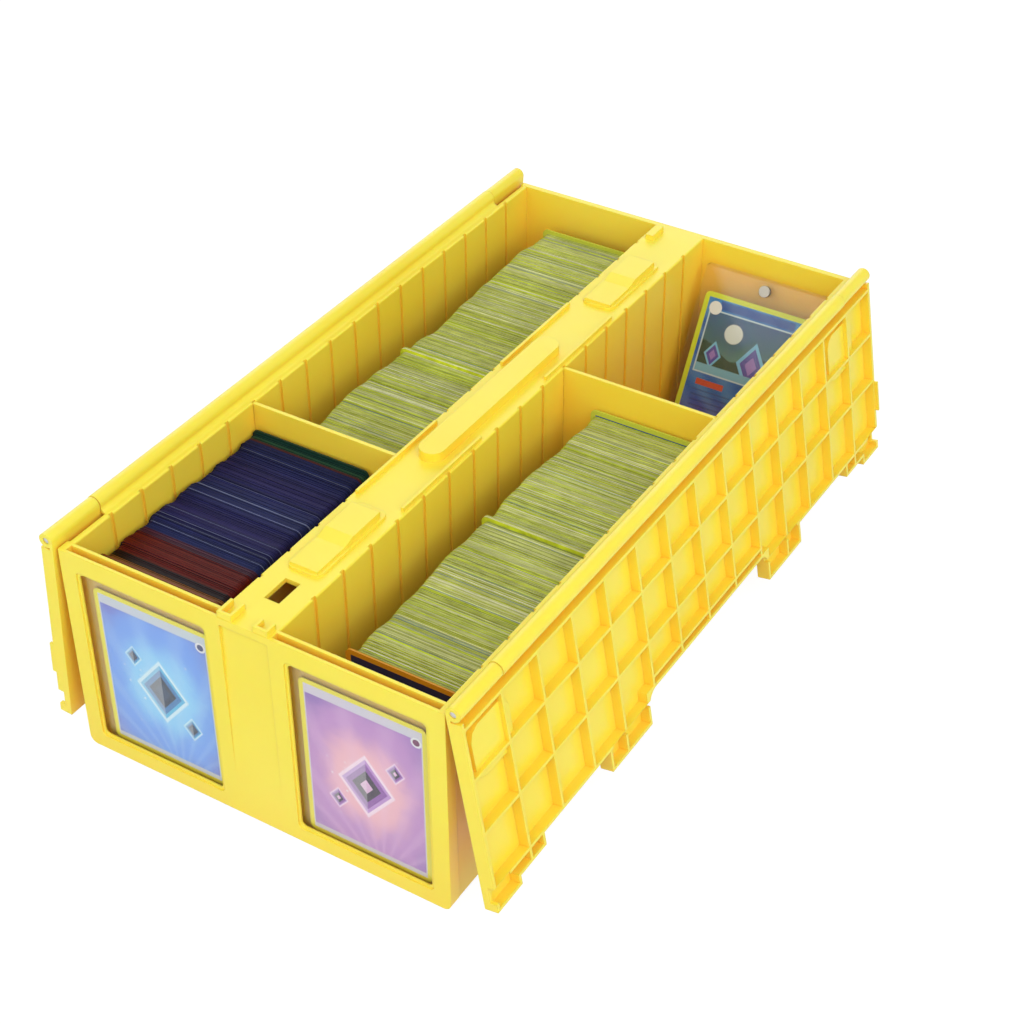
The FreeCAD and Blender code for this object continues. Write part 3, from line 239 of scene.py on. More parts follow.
# ------------------------------------------------------------ clear plastic
def clear_plastic(name, tint, seed, cloudy, face_on, edge):
    """Clear sheet: sees through, catches light at a slant, faint scuffs.

    face_on is the share it reflects seen straight on; edge is the share that
    its cut edges let through.
    """
    mat, tree, output = new_material(name)
    place = add(tree, "ShaderNodeTexCoord")
    shift = add(tree, "ShaderNodeMapping")
    shift.inputs["Location"].default_value = (seed, seed * 0.6, seed * 1.3)
    join(tree, place.outputs["Object"], shift.inputs["Vector"])
    scuff = add(tree, "ShaderNodeTexNoise", Scale=260.0, Detail=6.0, Roughness=0.7)
    join(tree, shift.outputs["Vector"], scuff.inputs["Vector"])
    haze = add(tree, "ShaderNodeTexNoise", Scale=14.0, Detail=2.0)
    join(tree, shift.outputs["Vector"], haze.inputs["Vector"])
    rough = ramp(tree, [(0.4, grey(0.05)), (0.75, grey(0.22))], scuff.outputs["Fac"])
    ripple = add(tree, "ShaderNodeBump")
    ripple.inputs["Strength"].default_value = 0.04
    ripple.inputs["Distance"].default_value = 0.002
    join(tree, haze.outputs["Fac"], ripple.inputs["Height"])
    slant = add(tree, "ShaderNodeLayerWeight", Blend=0.5)
    join(tree, ripple.outputs["Normal"], slant.inputs["Normal"])
    # The cut edges and slopes of clear sheet look denser than its faces.
    edge_tint = (tint[0] * edge, tint[1] * (edge - 0.03), tint[2] * (edge - 0.08), 1.0)
    dense = ramp(tree, [(0.0, tint), (0.62, tint), (0.80, edge_tint)], slant.outputs["Facing"])
    through = add(tree, "ShaderNodeBsdfTransparent")
    join(tree, dense.outputs["Color"], through.inputs["Color"])
    milk = add(tree, "ShaderNodeBsdfDiffuse")
    milk.inputs["Color"].default_value = (0.95, 0.95, 0.93, 1)
    clouds = ramp(tree, [(0.35, grey(cloudy * 0.5)), (0.75, grey(cloudy * 1.6))], haze.outputs["Fac"])
    body = add(tree, "ShaderNodeMixShader")
    join(tree, clouds.outputs["Color"], body.inputs["Fac"])
    join(tree, through.outputs["BSDF"], body.inputs[1])
    join(tree, milk.outputs["BSDF"], body.inputs[2])
    gloss = add(tree, "ShaderNodeBsdfGlossy")
    gloss.inputs["Color"].default_value = WHITE
    join(tree, rough.outputs["Color"], gloss.inputs["Roughness"])
    join(tree, ripple.outputs["Normal"], gloss.inputs["Normal"])
    grazing = math_node(tree, "POWER", slant.outputs["Facing"], 5.0)
    mirror = math_node(tree, "MULTIPLY_ADD", grazing, 1.0 - face_on, face_on, clamp=True)
    sheen = add(tree, "ShaderNodeMixShader")
    join(tree, mirror, sheen.inputs["Fac"])
    join(tree, body.outputs["Shader"], sheen.inputs[1])
    join(tree, gloss.outputs["BSDF"], sheen.inputs[2])
    join(tree, sheen.outputs["Shader"], output.inputs["Surface"])
    return mat


SLEEVE_TINT = (0.985, 0.99, 0.985, 1)
CASE_TINT = (0.99, 0.985, 0.97, 1)
for node, name, seed in (("display_sleeve_left", "sleeve_left_clear", 0.3),
                         ("display_sleeve_right", "sleeve_right_clear", 2.3)):
    set_material(node, clear_plastic(name, SLEEVE_TINT, seed, cloudy=0.012, face_on=0.02, edge=0.88))
for node, name, seed in (("case_front_shell", "case_front_clear", 4.1),
                         ("case_rear_shell", "case_rear_clear", 5.7)):
    set_material(node, clear_plastic(name, CASE_TINT, seed, cloudy=0.010, face_on=0.016, edge=0.68))


# ------------------------------------------------------------ printed cards
CARD_TALL = 0.088
CASE_LEAN = 30.0
PRINT_EDGE = 0.0003
# Oblong parts of a printed face: half width, low edge and high edge, from the card's middle.
DISPLAY_BORDER = (0.0292, -0.0415, 0.0418)
DISPLAY_FIELD = (0.0286, -0.0390, 0.0368)
CASE_BORDER = (0.0288, -0.0413, 0.0413)
PICTURE = (0.0262, 0.0020, 0.0345)
PICTURE_EDGE = (0.0270, 0.0012, 0.0353)
HEAD_BAR = (0.0215, 0.0362, 0.0405)
LABEL = (0.0080, -0.0052, -0.0020)
LABEL_SHIFT = 0.0155
TEXT_BLOCK = (0.0245, -0.0345, -0.0075)
# Round parts: across and up from the card's middle, and radius.
DISPLAY_BADGE = (0.0262, 0.0352, 0.0027)
DISPLAY_BUTTON = (0.0262, 0.0352, 0.0017)
MOON = (-0.0100, 0.0255, 0.0052)
HEAD_BADGE = (-0.0240, 0.0362, 0.0036)
HEAD_DROP = (0.0255, 0.0385, 0.0022)
# Colour field of the display cards: its reach, the depth of its clouds, and its rays.
FIELD_REACH = 0.046
CLOUD_DEPTH = 0.016
RAY_RATE = 26.0
RAY_SOURCE = (0.006, -0.05)
SPARK_REACH = 0.022
GEM_TALL = 1.25
GEM_RIM = 1.16
# Picture of the case card. Rates are in radians a metre.
HILL_LINE = 0.0150
HILL_HEIGHT = 0.0030
HILL_RATE = 190.0
HILL_ROUGH = 0.008
WATER_LINE = 0.0062
CRYSTAL_LINE = 0.0120
CRYSTAL_TALL = 1.5
CRYSTALS = ((0.0040, 0.0085), (0.0165, 0.0060), (-0.0185, 0.0050))
RULE_RATE = 2200.0
# Bands of a row's end cards, down from the card's top, and the width of its border.
HEAD_BAND = 0.0072
STRIPE_LOW = 0.0110
STRIPE_HIGH = 0.0074
END_BORDER = 0.0026


def card_space(tree, centre, lean_degrees):
    """Card coordinates in metres from the card's middle: across, out, up."""
    place = add(tree, "ShaderNodeTexCoord")
    local = add(tree, "ShaderNodeMapping")
    local.vector_type = "TEXTURE"
    local.inputs["Location"].default_value = centre
    local.inputs["Rotation"].default_value = (math.radians(-lean_degrees), 0, 0)
    join(tree, place.outputs["Object"], local.inputs["Vector"])
    parts = add(tree, "ShaderNodeSeparateXYZ")
    join(tree, local.outputs["Vector"], parts.inputs["Vector"])
    return local.outputs["Vector"], parts.outputs["X"], parts.outputs["Z"]


def soft_step(tree, value, edge, width):
    """0 below the edge and 1 above it, over a short slope."""
    node = add(tree, "ShaderNodeMapRange")
    node.clamp = True
    node.inputs["From Min"].default_value = edge - width / 2
    node.inputs["From Max"].default_value = edge + width / 2
    join(tree, value, node.inputs["Value"])
    return node.outputs["Result"]


def inside_box(tree, across, up, half_wide, low, high, width=PRINT_EDGE):
    """1 inside a rectangle centred across the card, 0 outside."""
    side = math_node(tree, "ABSOLUTE", across)
    in_side = math_node(tree, "SUBTRACT", 1.0, soft_step(tree, side, half_wide, width))
    above = soft_step(tree, up, low, width)
    below = math_node(tree, "SUBTRACT", 1.0, soft_step(tree, up, high, width))
    return math_node(tree, "MULTIPLY", math_node(tree, "MULTIPLY", in_side, above), below)


def distance_from(tree, across, up, x, z, squash=1.0):
    """Distance from a point of the card; a squash below 1 makes the rings tall."""
    dx = math_node(tree, "SUBTRACT", across, x)
    dz = math_node(tree, "MULTIPLY", math_node(tree, "SUBTRACT", up, z), squash)
    square = math_node(tree, "ADD", math_node(tree, "MULTIPLY", dx, dx), math_node(tree, "MULTIPLY", dz, dz))
    return math_node(tree, "SQRT", square)


def spot(tree, across, up, x, z, radius, width):
    """1 inside a disc, 0 outside."""
    far = distance_from(tree, across, up, x, z)
    return math_node(tree, "SUBTRACT", 1.0, soft_step(tree, far, radius, width))


def diamond(tree, across, up, x, z, radius, width, tall=1.0):
    """1 inside a lozenge and 0 outside, and the distance from its middle."""
    dx = math_node(tree, "ABSOLUTE", math_node(tree, "SUBTRACT", across, x))
    dz = math_node(tree, "DIVIDE", math_node(tree, "ABSOLUTE", math_node(tree, "SUBTRACT", up, z)), tall)
    total = math_node(tree, "ADD", dx, dz)
    return math_node(tree, "SUBTRACT", 1.0, soft_step(tree, total, radius, width)), total


def print_finish(tree, output, colour, vector, gloss=0.35):
    """Coated card stock over the printed colour."""
    fibre = add(tree, "ShaderNodeTexNoise", Scale=1800.0, Detail=2.0)
    join(tree, vector, fibre.inputs["Vector"])
    grain = mix_colour(tree, 0.10, colour, fibre.outputs["Color"], "SOFT_LIGHT")
    linen = add(tree, "ShaderNodeBump")
    linen.inputs["Strength"].default_value = 0.05
    linen.inputs["Distance"].default_value = 0.0001
    join(tree, fibre.outputs["Fac"], linen.inputs["Height"])
    rough = add(tree, "ShaderNodeTexNoise", Scale=40.0, Detail=2.0)
    join(tree, vector, rough.inputs["Vector"])
    sheen = ramp(tree, [(0.3, grey(gloss)), (0.7, grey(gloss + 0.12))], rough.outputs["Fac"])
    shader = add(tree, "ShaderNodeBsdfPrincipled")
    shader.inputs["Specular IOR Level"].default_value = 0.25
    join(tree, grain, shader.inputs["Base Color"])
    join(tree, sheen.outputs["Color"], shader.inputs["Roughness"])
    join(tree, linen.outputs["Normal"], shader.inputs["Normal"])
    join(tree, shader.outputs["BSDF"], output.inputs["Surface"])


def display_card(name, centre, look):
    """A glowing colour field with a cut-gem motif, pale strips and a yellow border."""
    mat, tree, output = new_material(name)
    vector, across, up = card_space(tree, centre, 0)
    cloud = add(tree, "ShaderNodeTexNoise", Scale=34.0, Detail=5.0, Roughness=0.55, Distortion=1.2)
    join(tree, vector, cloud.inputs["Vector"])
    mist = math_node(tree, "MULTIPLY_ADD", cloud.outputs["Fac"], CLOUD_DEPTH, -CLOUD_DEPTH / 2)
    x0, z0 = look["middle"]
    far = distance_from(tree, across, up, x0, z0, 0.86)
    reach = math_node(tree, "ADD", far, mist)
    reach = math_node(tree, "DIVIDE", reach, FIELD_REACH, clamp=True)
    field = ramp(tree, look["field"], reach, "EASE")
    # Rays that spread from a point below the motif.
    fan = math_node(tree, "ARCTAN2", math_node(tree, "SUBTRACT", up, z0 + RAY_SOURCE[1]),
                    math_node(tree, "SUBTRACT", across, x0 + RAY_SOURCE[0]))
    ray = math_node(tree, "SINE", math_node(tree, "MULTIPLY", fan, RAY_RATE))
    ray = math_node(tree, "MULTIPLY", soft_step(tree, ray, 0.4, 1.2), 0.16)
    colour = mix_colour(tree, ray, field.outputs["Color"], look["ray"])
    # Small sparks.
    sparks = add(tree, "ShaderNodeTexVoronoi", Scale=150.0)
    join(tree, vector, sparks.inputs["Vector"])
    dots = math_node(tree, "SUBTRACT", 1.0, soft_step(tree, sparks.outputs["Distance"], 0.10, 0.08))
    near_motif = math_node(tree, "SUBTRACT", 1.0, soft_step(tree, far, SPARK_REACH, 0.012))
    dots = math_node(tree, "MULTIPLY", math_node(tree, "MULTIPLY", dots, near_motif), 0.7)
    colour = mix_colour(tree, dots, colour, (0.95, 0.95, 1.0, 1))
    # The gem: a rim, a body with facets and a dark heart, with two small satellites.
    for dx, dz, size in look["gems"]:
        rim, _ = diamond(tree, across, up, x0 + dx, z0 + dz, size * GEM_RIM, 0.0008, GEM_TALL)
        colour = mix_colour(tree, math_node(tree, "MULTIPLY", rim, 0.85), colour, look["rim"])
        gem, far_gem = diamond(tree, across, up, x0 + dx, z0 + dz, size, 0.0004, GEM_TALL)
        shade = math_node(tree, "DIVIDE", far_gem, size, clamp=True)
        facets = ramp(tree, look["gem"], shade, "CONSTANT")
        colour = mix_colour(tree, gem, colour, facets.outputs["Color"])
        left = math_node(tree, "SUBTRACT", 1.0, soft_step(tree, across, x0 + dx, PRINT_EDGE))
        lit = math_node(tree, "MULTIPLY", math_node(tree, "MULTIPLY", gem, left), 0.22)
        colour = mix_colour(tree, lit, colour, WHITE)
    # Pale strips at the head and foot, then the border.
    panel = inside_box(tree, across, up, *DISPLAY_FIELD)
    pale = mix_colour(tree, 0.25, look["strip"], cloud.outputs["Color"], "SOFT_LIGHT")
    colour = mix_colour(tree, panel, pale, colour)
    badge = spot(tree, across, up, *DISPLAY_BADGE, PRINT_EDGE)
    colour = mix_colour(tree, badge, colour, (0.80, 0.80, 0.84, 1))
    button = spot(tree, across, up, *DISPLAY_BUTTON, PRINT_EDGE)
    colour = mix_colour(tree, button, colour, look["dark"])
    frame_in = inside_box(tree, across, up, *DISPLAY_BORDER)
    colour = mix_colour(tree, frame_in, look["border"], colour)
    print_finish(tree, output, colour, vector)
    return mat


BLUE_LOOK = {
    "middle": (0.001, -0.002),
    "field": [(0.0, srgb(214, 243, 255)), (0.30, srgb(148, 213, 255)), (0.62, srgb(116, 166, 246)),
              (1.0, srgb(120, 126, 212))],
    "ray": srgb(190, 225, 255), "rim": srgb(225, 246, 255), "dark": srgb(60, 70, 120),
    "gem": [(0.0, srgb(52, 74, 104)), (0.34, srgb(44, 60, 84)), (0.60, srgb(70, 132, 190)),
            (0.84, srgb(98, 190, 232))],
    "gems": [(0.0, 0.0, 0.0125), (-0.0145, 0.0145, 0.0040), (0.0150, -0.0150, 0.0046)],
    "strip": srgb(205, 212, 224), "border": srgb(238, 228, 60),
}
VIOLET_LOOK = {
    "middle": (0.0, -0.003),
    "field": [(0.0, srgb(255, 238, 240)), (0.30, srgb(244, 190, 204)), (0.62, srgb(198, 148, 208)),
              (1.0, srgb(146, 114, 190))],
    "ray": srgb(240, 200, 235), "rim": srgb(252, 232, 248), "dark": srgb(120, 60, 100),
    "gem": [(0.0, srgb(232, 190, 225)), (0.26, srgb(58, 46, 70)), (0.58, srgb(150, 96, 176)),
            (0.84, srgb(196, 150, 216))],
    "gems": [(0.0, 0.0, 0.0125), (0.0150, 0.0150, 0.0042), (-0.0150, -0.0140, 0.0042)],
    "strip": srgb(214, 208, 222), "border": srgb(238, 226, 62),
}


def middle_of(node):
    low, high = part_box(node)
    return tuple((low + high) / 2)


for node, name, look in (("display_card_left", "card_blue_print", BLUE_LOOK),
                         ("display_card_right", "card_violet_print", VIOLET_LOOK)):
    set_material(node, display_card(name, middle_of(node), look))


def case_card(name, centre, lean_degrees):
    """A picture card: framed scene above, a ruled text panel without words below."""
    mat, tree, output = new_material(name)
    vector, across, up = card_space(tree, centre, lean_degrees)
    cloud = add(tree, "ShaderNodeTexNoise", Scale=60.0, Detail=6.0, Roughness=0.6, Distortion=0.8)
    join(tree, vector, cloud.inputs["Vector"])
    height = math_node(tree, "MULTIPLY_ADD", up, 1.0 / CARD_TALL, 0.5)
    ground = ramp(tree, [(0.0, srgb(92, 40, 120)), (0.24, srgb(70, 60, 170)), (0.42, srgb(20, 96, 180)),
                         (0.80, srgb(16, 84, 170)), (1.0, srgb(30, 130, 205))], height)
    colour = mix_colour(tree, 0.35, ground.outputs["Color"], cloud.outputs["Color"], "SOFT_LIGHT")
    # Foil streaks.
    foil = add(tree, "ShaderNodeTexWave", Scale=38.0, Distortion=3.0, Detail=2.0)
    foil.bands_direction = "DIAGONAL"
    join(tree, vector, foil.inputs["Vector"])
    colour = mix_colour(tree, math_node(tree, "MULTIPLY", foil.outputs["Fac"], 0.14), colour,
                        srgb(150, 220, 250))
    # The picture: a moonlit valley of plain shapes.
    window = inside_box(tree, across, up, *PICTURE)
    sky = ramp(tree, [(0.50, srgb(126, 170, 150)), (0.72, srgb(60, 104, 120)), (0.92, srgb(50, 90, 140))],
               height)
    scene = mix_colour(tree, 0.5, sky.outputs["Color"], cloud.outputs["Color"], "SOFT_LIGHT")
    moon = spot(tree, across, up, *MOON, 2 * PRINT_EDGE)
    scene = mix_colour(tree, moon, scene, srgb(214, 226, 226))
    wave = math_node(tree, "SINE", math_node(tree, "MULTIPLY", across, HILL_RATE))
    hills = math_node(tree, "MULTIPLY_ADD", wave, HILL_HEIGHT, HILL_LINE)
    lift = math_node(tree, "MULTIPLY_ADD", cloud.outputs["Fac"], HILL_ROUGH, -HILL_ROUGH / 2)
    hills = math_node(tree, "ADD", hills, lift)
    hill = math_node(tree, "SUBTRACT", 1.0,
                     soft_step(tree, math_node(tree, "SUBTRACT", up, hills), 0.0, 2 * PRINT_EDGE))
    scene = mix_colour(tree, hill, scene, srgb(44, 74, 66))
    for x, size in CRYSTALS:
        peak, deep = diamond(tree, across, up, x, CRYSTAL_LINE, size, 0.0005, CRYSTAL_TALL)
        shade = math_node(tree, "DIVIDE", deep, size, clamp=True)
        facets = [(0.0, srgb(150, 120, 200)), (0.4, srgb(84, 78, 168)), (0.75, srgb(120, 190, 230))]
        crystal = ramp(tree, facets, shade, "CONSTANT")
        scene = mix_colour(tree, peak, scene, crystal.outputs["Color"])
    water = math_node(tree, "SUBTRACT", 1.0, soft_step(tree, up, WATER_LINE, 0.0004))
    scene = mix_colour(tree, water, scene, srgb(120, 180, 210))
    colour = mix_colour(tree, window, colour, scene)
    edge_out = inside_box(tree, across, up, *PICTURE_EDGE)
    edge = math_node(tree, "SUBTRACT", edge_out, window, clamp=True)
    colour = mix_colour(tree, edge, colour, srgb(190, 214, 226))
    # Head bar, badge and blank ruled lines.
    bar = inside_box(tree, across, up, *HEAD_BAR)
    colour = mix_colour(tree, math_node(tree, "MULTIPLY", bar, 0.75), colour, srgb(30, 60, 150))
    badge = spot(tree, across, up, *HEAD_BADGE, PRINT_EDGE)
    colour = mix_colour(tree, badge, colour, srgb(226, 230, 232))
    drop = spot(tree, across, up, *HEAD_DROP, PRINT_EDGE)
    colour = mix_colour(tree, drop, colour, srgb(110, 200, 245))
    label = inside_box(tree, math_node(tree, "ADD", across, LABEL_SHIFT), up, *LABEL)
    colour = mix_colour(tree, label, colour, srgb(196, 74, 50))
    rules = math_node(tree, "SINE", math_node(tree, "MULTIPLY", up, RULE_RATE))
    rules = soft_step(tree, rules, 0.55, 0.25)
    block = inside_box(tree, across, up, *TEXT_BLOCK)
    rules = math_node(tree, "MULTIPLY", math_node(tree, "MULTIPLY", rules, block), 0.35)
    colour = mix_colour(tree, rules, colour, srgb(16, 22, 70))
    frame_in = inside_box(tree, across, up, *CASE_BORDER)
    colour = mix_colour(tree, frame_in, srgb(206, 220, 52), colour)
    print_finish(tree, output, colour, vector, gloss=0.25)
    return mat


set_material("case_card", case_card("case_card_print", middle_of("case_card"), CASE_LEAN))


def end_card(name, node, border, band, head, base):
    """The first or last card of a row: border, a dark head bar and a band below it."""
    mat, tree, output = new_material(name)
    vector, across, up = card_space(tree, middle_of(node), 0)
    low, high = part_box(node)
    half_tall = (high.z - low.z) / 2
    half_wide = (high.x - low.x) / 2
    cloud = add(tree, "ShaderNodeTexNoise", Scale=70.0, Detail=5.0, Roughness=0.6, Distortion=0.6)
    join(tree, vector, cloud.inputs["Vector"])
    colour = mix_colour(tree, 0.45, base, cloud.outputs["Color"], "SOFT_LIGHT")
    stripe = inside_box(tree, across, up, half_wide, half_tall - STRIPE_LOW, half_tall - STRIPE_HIGH)
    colour = mix_colour(tree, stripe, colour, band)
    bar = inside_box(tree, across, up, half_wide, half_tall - HEAD_BAND, half_tall)
    shade = mix_colour(tree, 0.4, head, cloud.outputs["Color"], "SOFT_LIGHT")
    colour = mix_colour(tree, bar, colour, shade)
    rim = inside_box(tree, across, up, half_wide - END_BORDER, END_BORDER - half_tall,
                     half_tall - END_BORDER)
    colour = mix_colour(tree, rim, border, colour)
    print_finish(tree, output, colour, vector)
    return mat


NAVY = srgb(40, 42, 82)
ORANGE = srgb(196, 120, 34)
BROWN = srgb(120, 62, 26)
for node, border, band, head, base in (
    ("cards_dark_first", BROWN, srgb(70, 24, 14), srgb(142, 84, 24), srgb(60, 16, 14)),
    ("cards_dark_last", srgb(20, 52, 44), srgb(30, 74, 66), srgb(24, 66, 56), srgb(20, 56, 50)),
    ("cards_rear_first", ORANGE, BROWN, srgb(150, 70, 24), srgb(90, 40, 26)),
    ("cards_rear_last", srgb(196, 204, 70), BROWN, srgb(60, 84, 150), srgb(80, 110, 160)),
    ("cards_front_first", srgb(204, 140, 30), ORANGE, NAVY, srgb(60, 60, 110)),
    ("cards_front_last", srgb(196, 204, 70), BROWN, srgb(60, 84, 150), srgb(80, 110, 160)),
):
    set_material(node, end_card(node + "_print", node, border, band, head, base))


# ------------------------------------------------------------ rows of cards
def card_edges(name):
    """Cut card stock: each card's own tone from the mesh, with fine paper grain."""
    mat, tree, output = new_material(name)
    own = add(tree, "ShaderNodeAttribute")
    own.attribute_name = "card_tone"
    place = add(tree, "ShaderNodeTexCoord")
    stretch = add(tree, "ShaderNodeMapping")
    stretch.inputs["Scale"].default_value = (120.0, 2600.0, 160.0)
    join(tree, place.outputs["Object"], stretch.inputs["Vector"])
    fibre = add(tree, "ShaderNodeTexNoise", Scale=1.0, Detail=4.0, Roughness=0.65)
    join(tree, stretch.outputs["Vector"], fibre.inputs["Vector"])
    grime = add(tree, "ShaderNodeTexNoise", Scale=45.0, Detail=4.0)
    join(tree, place.outputs["Object"], grime.inputs["Vector"])
    light = ramp(tree, [(0.30, (0.62, 0.62, 0.60, 1)), (0.52, WHITE), (0.72, (1.22, 1.22, 1.2, 1))],
                 fibre.outputs["Fac"])
    soil = ramp(tree, [(0.3, (0.86, 0.86, 0.84, 1)), (0.7, grey(1.05))], grime.outputs["Fac"])
    colour = mix_colour(tree, 1.0, own.outputs["Color"], light.outputs["Color"], "MULTIPLY")
    colour = mix_colour(tree, 1.0, colour, soil.outputs["Color"], "MULTIPLY")
    bump = add(tree, "ShaderNodeBump")
    bump.inputs["Strength"].default_value = 0.25
    bump.inputs["Distance"].default_value = 0.0002
    join(tree, fibre.outputs["Fac"], bump.inputs["Height"])
    shader = add(tree, "ShaderNodeBsdfPrincipled")
    join(tree, colour, shader.inputs["Base Color"])
    shader.inputs["Specular IOR Level"].default_value = 0.10
    join(tree, own.outputs["Alpha"], shader.inputs["Roughness"])
    join(tree, bump.outputs["Normal"], shader.inputs["Normal"])
    join(tree, shader.outputs["BSDF"], output.inputs["Surface"])
    return mat


def card_outline(left, right, low, high, radius, steps):
    """Corner points of a round-cornered card, anticlockwise seen from the front."""
    points = []
    for cx, cz, start in ((right - radius, high - radius, 0), (left + radius, high - radius, 90),
                          (left + radius, low + radius, 180), (right - radius, low + radius, 270)):
        for step in range(steps + 1):
            angle = math.radians(start + 90 * step / steps)
            points.append((cx + radius * math.cos(angle), cz + radius * math.sin(angle)))
    return points


MM = 0.001
CARD_PITCH = 0.42 * MM
CARD_FILL = (0.80, 0.97)
CARD_ROUND = 3.0 * MM
ROUND_STEPS = 4
RAISED_REACH = 2.0
RAISED_DROP = 0.1 * MM


def card_row(name, node, body, seed, tones, drop_of, slide_of, raised_at=None):
    """Single cards standing one behind the other, in place of the CAD block.

    tones gives a card's edge and face tone, drop_of how far its top is below
    the block's, slide_of how far it slips sideways. The few cards at raised_at
    stand taller than the rest.
    """
    rng = random.Random(seed)
    low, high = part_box(node)
    mesh_builder = bmesh.new()
    layer = mesh_builder.faces.layers.float_color.new("card_tone")
    count = int((high.y - low.y) / CARD_PITCH)
    thick = (high.y - low.y) / count
    for index in range(count):
        share = (index + 0.5) / count
        top = high.z - drop_of(share, rng)
        slide = slide_of(share, rng)
        left = low.x + max(0.0, slide)
        right = high.x + min(0.0, slide)
        if raised_at is not None and abs(share - raised_at) * count < RAISED_REACH:
            top, left, right = high.z - RAISED_DROP, low.x, high.x
        front = low.y + index * thick
        back = front + thick * rng.uniform(*CARD_FILL)
        edge, face = tones(share, rng)
        points = card_outline(left, right, low.z, top, CARD_ROUND, ROUND_STEPS)
        near = [mesh_builder.verts.new((x, front, z)) for x, z in points]
        far = [mesh_builder.verts.new((x, back, z)) for x, z in points]
        flat_front = mesh_builder.faces.new(near)
        flat_back = mesh_builder.faces.new(list(reversed(far)))
        flat_front[layer] = face
        flat_back[layer] = face
        total = len(points)
        for corner in range(total):
            nxt = (corner + 1) % total
            side = mesh_builder.faces.new((near[nxt], near[corner], far[corner], far[nxt]))
            side[layer] = edge
            side.smooth = False
    mesh_builder.normal_update()
    mesh = bpy.data.meshes.new(name)
    mesh_builder.to_mesh(mesh)
    mesh_builder.free()
    mesh.materials.append(card_edges(name + "_stock"))
    row = bpy.data.objects.new(name, mesh)
    bpy.context.scene.collection.objects.link(row)
    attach(row, body)
    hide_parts(node)


def tone(red, green, blue, rough=0.6, gain=1.0):
    """A card's colour, and its roughness in the place of alpha."""
    colour = srgb(red, green, blue)
    return (colour[0] * gain, colour[1] * gain, colour[2] * gain, rough)


# Bare card stock: running share of the cards, colour, and the range its gain is drawn from.
PALE_STOCK = (
    (0.46, (200, 203, 144), (0.74, 1.08)),
    (0.70, (184, 190, 102), (0.72, 1.06)),
    (0.84, (150, 158, 96), (0.7, 1.0)),
    (0.93, (196, 214, 60), (0.85, 1.1)),
    (0.975, (222, 222, 196), None),
    (1.0, (120, 140, 150), None),
)


def pale_tones(share, rng):
    """Bare cards: grey-green stock, now and then whiter, olive or lime."""
    pick = rng.random()
    colour, gains = next((colour, gains) for below, colour, gains in PALE_STOCK if pick < below)
    edge = tone(*colour, gain=rng.uniform(*gains) if gains else 1.0)
    face = tone(206, 218, 54, 0.4, rng.uniform(0.75, 1.1))
    return edge, face


# Soft-sleeved cards, front to back: where a band ends along the row, colour, roughness.
NAVY_FROM = 0.24
NAVY_TO = 0.945
PALE_SLEEVES = 0.04
DARK_BANDS = (
    (0.035, (126, 78, 26), 0.35),
    (0.075, (34, 11, 8), 0.3),
    (0.20, (96, 22, 10), 0.42),
    (NAVY_FROM, (66, 28, 46), 0.3),
    (NAVY_TO, (28, 31, 82), 0.52),
    (0.962, (74, 34, 44), 0.35),
    (1.0, (28, 66, 52), 0.4),
)


def dark_tones(share, rng):
    """Soft-sleeved cards: brown and dark red in front, then navy, green last."""
    gain = rng.uniform(0.6, 1.25)
    colour, rough = next((colour, rough) for end, colour, rough in DARK_BANDS if share < end)
    if NAVY_FROM <= share < NAVY_TO:
        # The navy drifts towards violet and back; now and then a card is pale.
        violet = min(1.0, max(0.0, 0.5 + 0.5 * math.sin(19.0 * share)))
        red, green, blue = colour
        colour = (red + 7 * violet, green + 5 * (1 - violet), blue)
        if rng.random() < PALE_SLEEVES:
            colour, rough = (96, 104, 138), 0.4
    edge = tone(*colour, rough, gain)
    face = tone(26, 26, 52, 0.25, gain)
    return edge, face


# Tops of the cards, in millimetres: jitter, least drop, and how many stand out and by how much.
BARE_JITTER = 0.22
BARE_LEAST = 0.05
LOW_SHARE = 0.06
LOW_BY = (0.3, 0.9)
SLEEVED_JITTER = 0.16
SLEEVED_LEAST = 0.02
HIGH_SHARE = 0.05
HIGH_BY = (0.2, 0.5)


def waves(share, level, parts):
    """A level with sine waves along the row; each part is a height, a rate and a start."""
    for height, rate, start in parts:
        level += height * math.sin(rate * share + start)
    return level


def bare_drop(level, parts):
    """Tops of bare cards, in millimetres: waves, a little jitter, and some low cards."""
    def drop(share, rng):
        wave = waves(share, level, parts)
        jitter = rng.uniform(-BARE_JITTER, BARE_JITTER)
        wave += jitter + (rng.uniform(*LOW_BY) if rng.random() < LOW_SHARE else 0)
        return MM * max(BARE_LEAST, wave)
    return drop


def sleeved_drop(level, parts):
    """Tops of sleeved cards, in millimetres: waves, a little jitter, and some high cards."""
    def drop(share, rng):
        wave = waves(share, level, parts)
        if rng.random() < HIGH_SHARE:
            wave -= rng.uniform(*HIGH_BY)
        return MM * max(SLEEVED_LEAST, wave + rng.uniform(-SLEEVED_JITTER, SLEEVED_JITTER))
    return drop


def slip(level, parts, jitter):
    """Sideways place of the cards, in millimetres."""
    def slide(share, rng):
        return MM * (waves(share, level, parts) + rng.uniform(-jitter, jitter))
    return slide


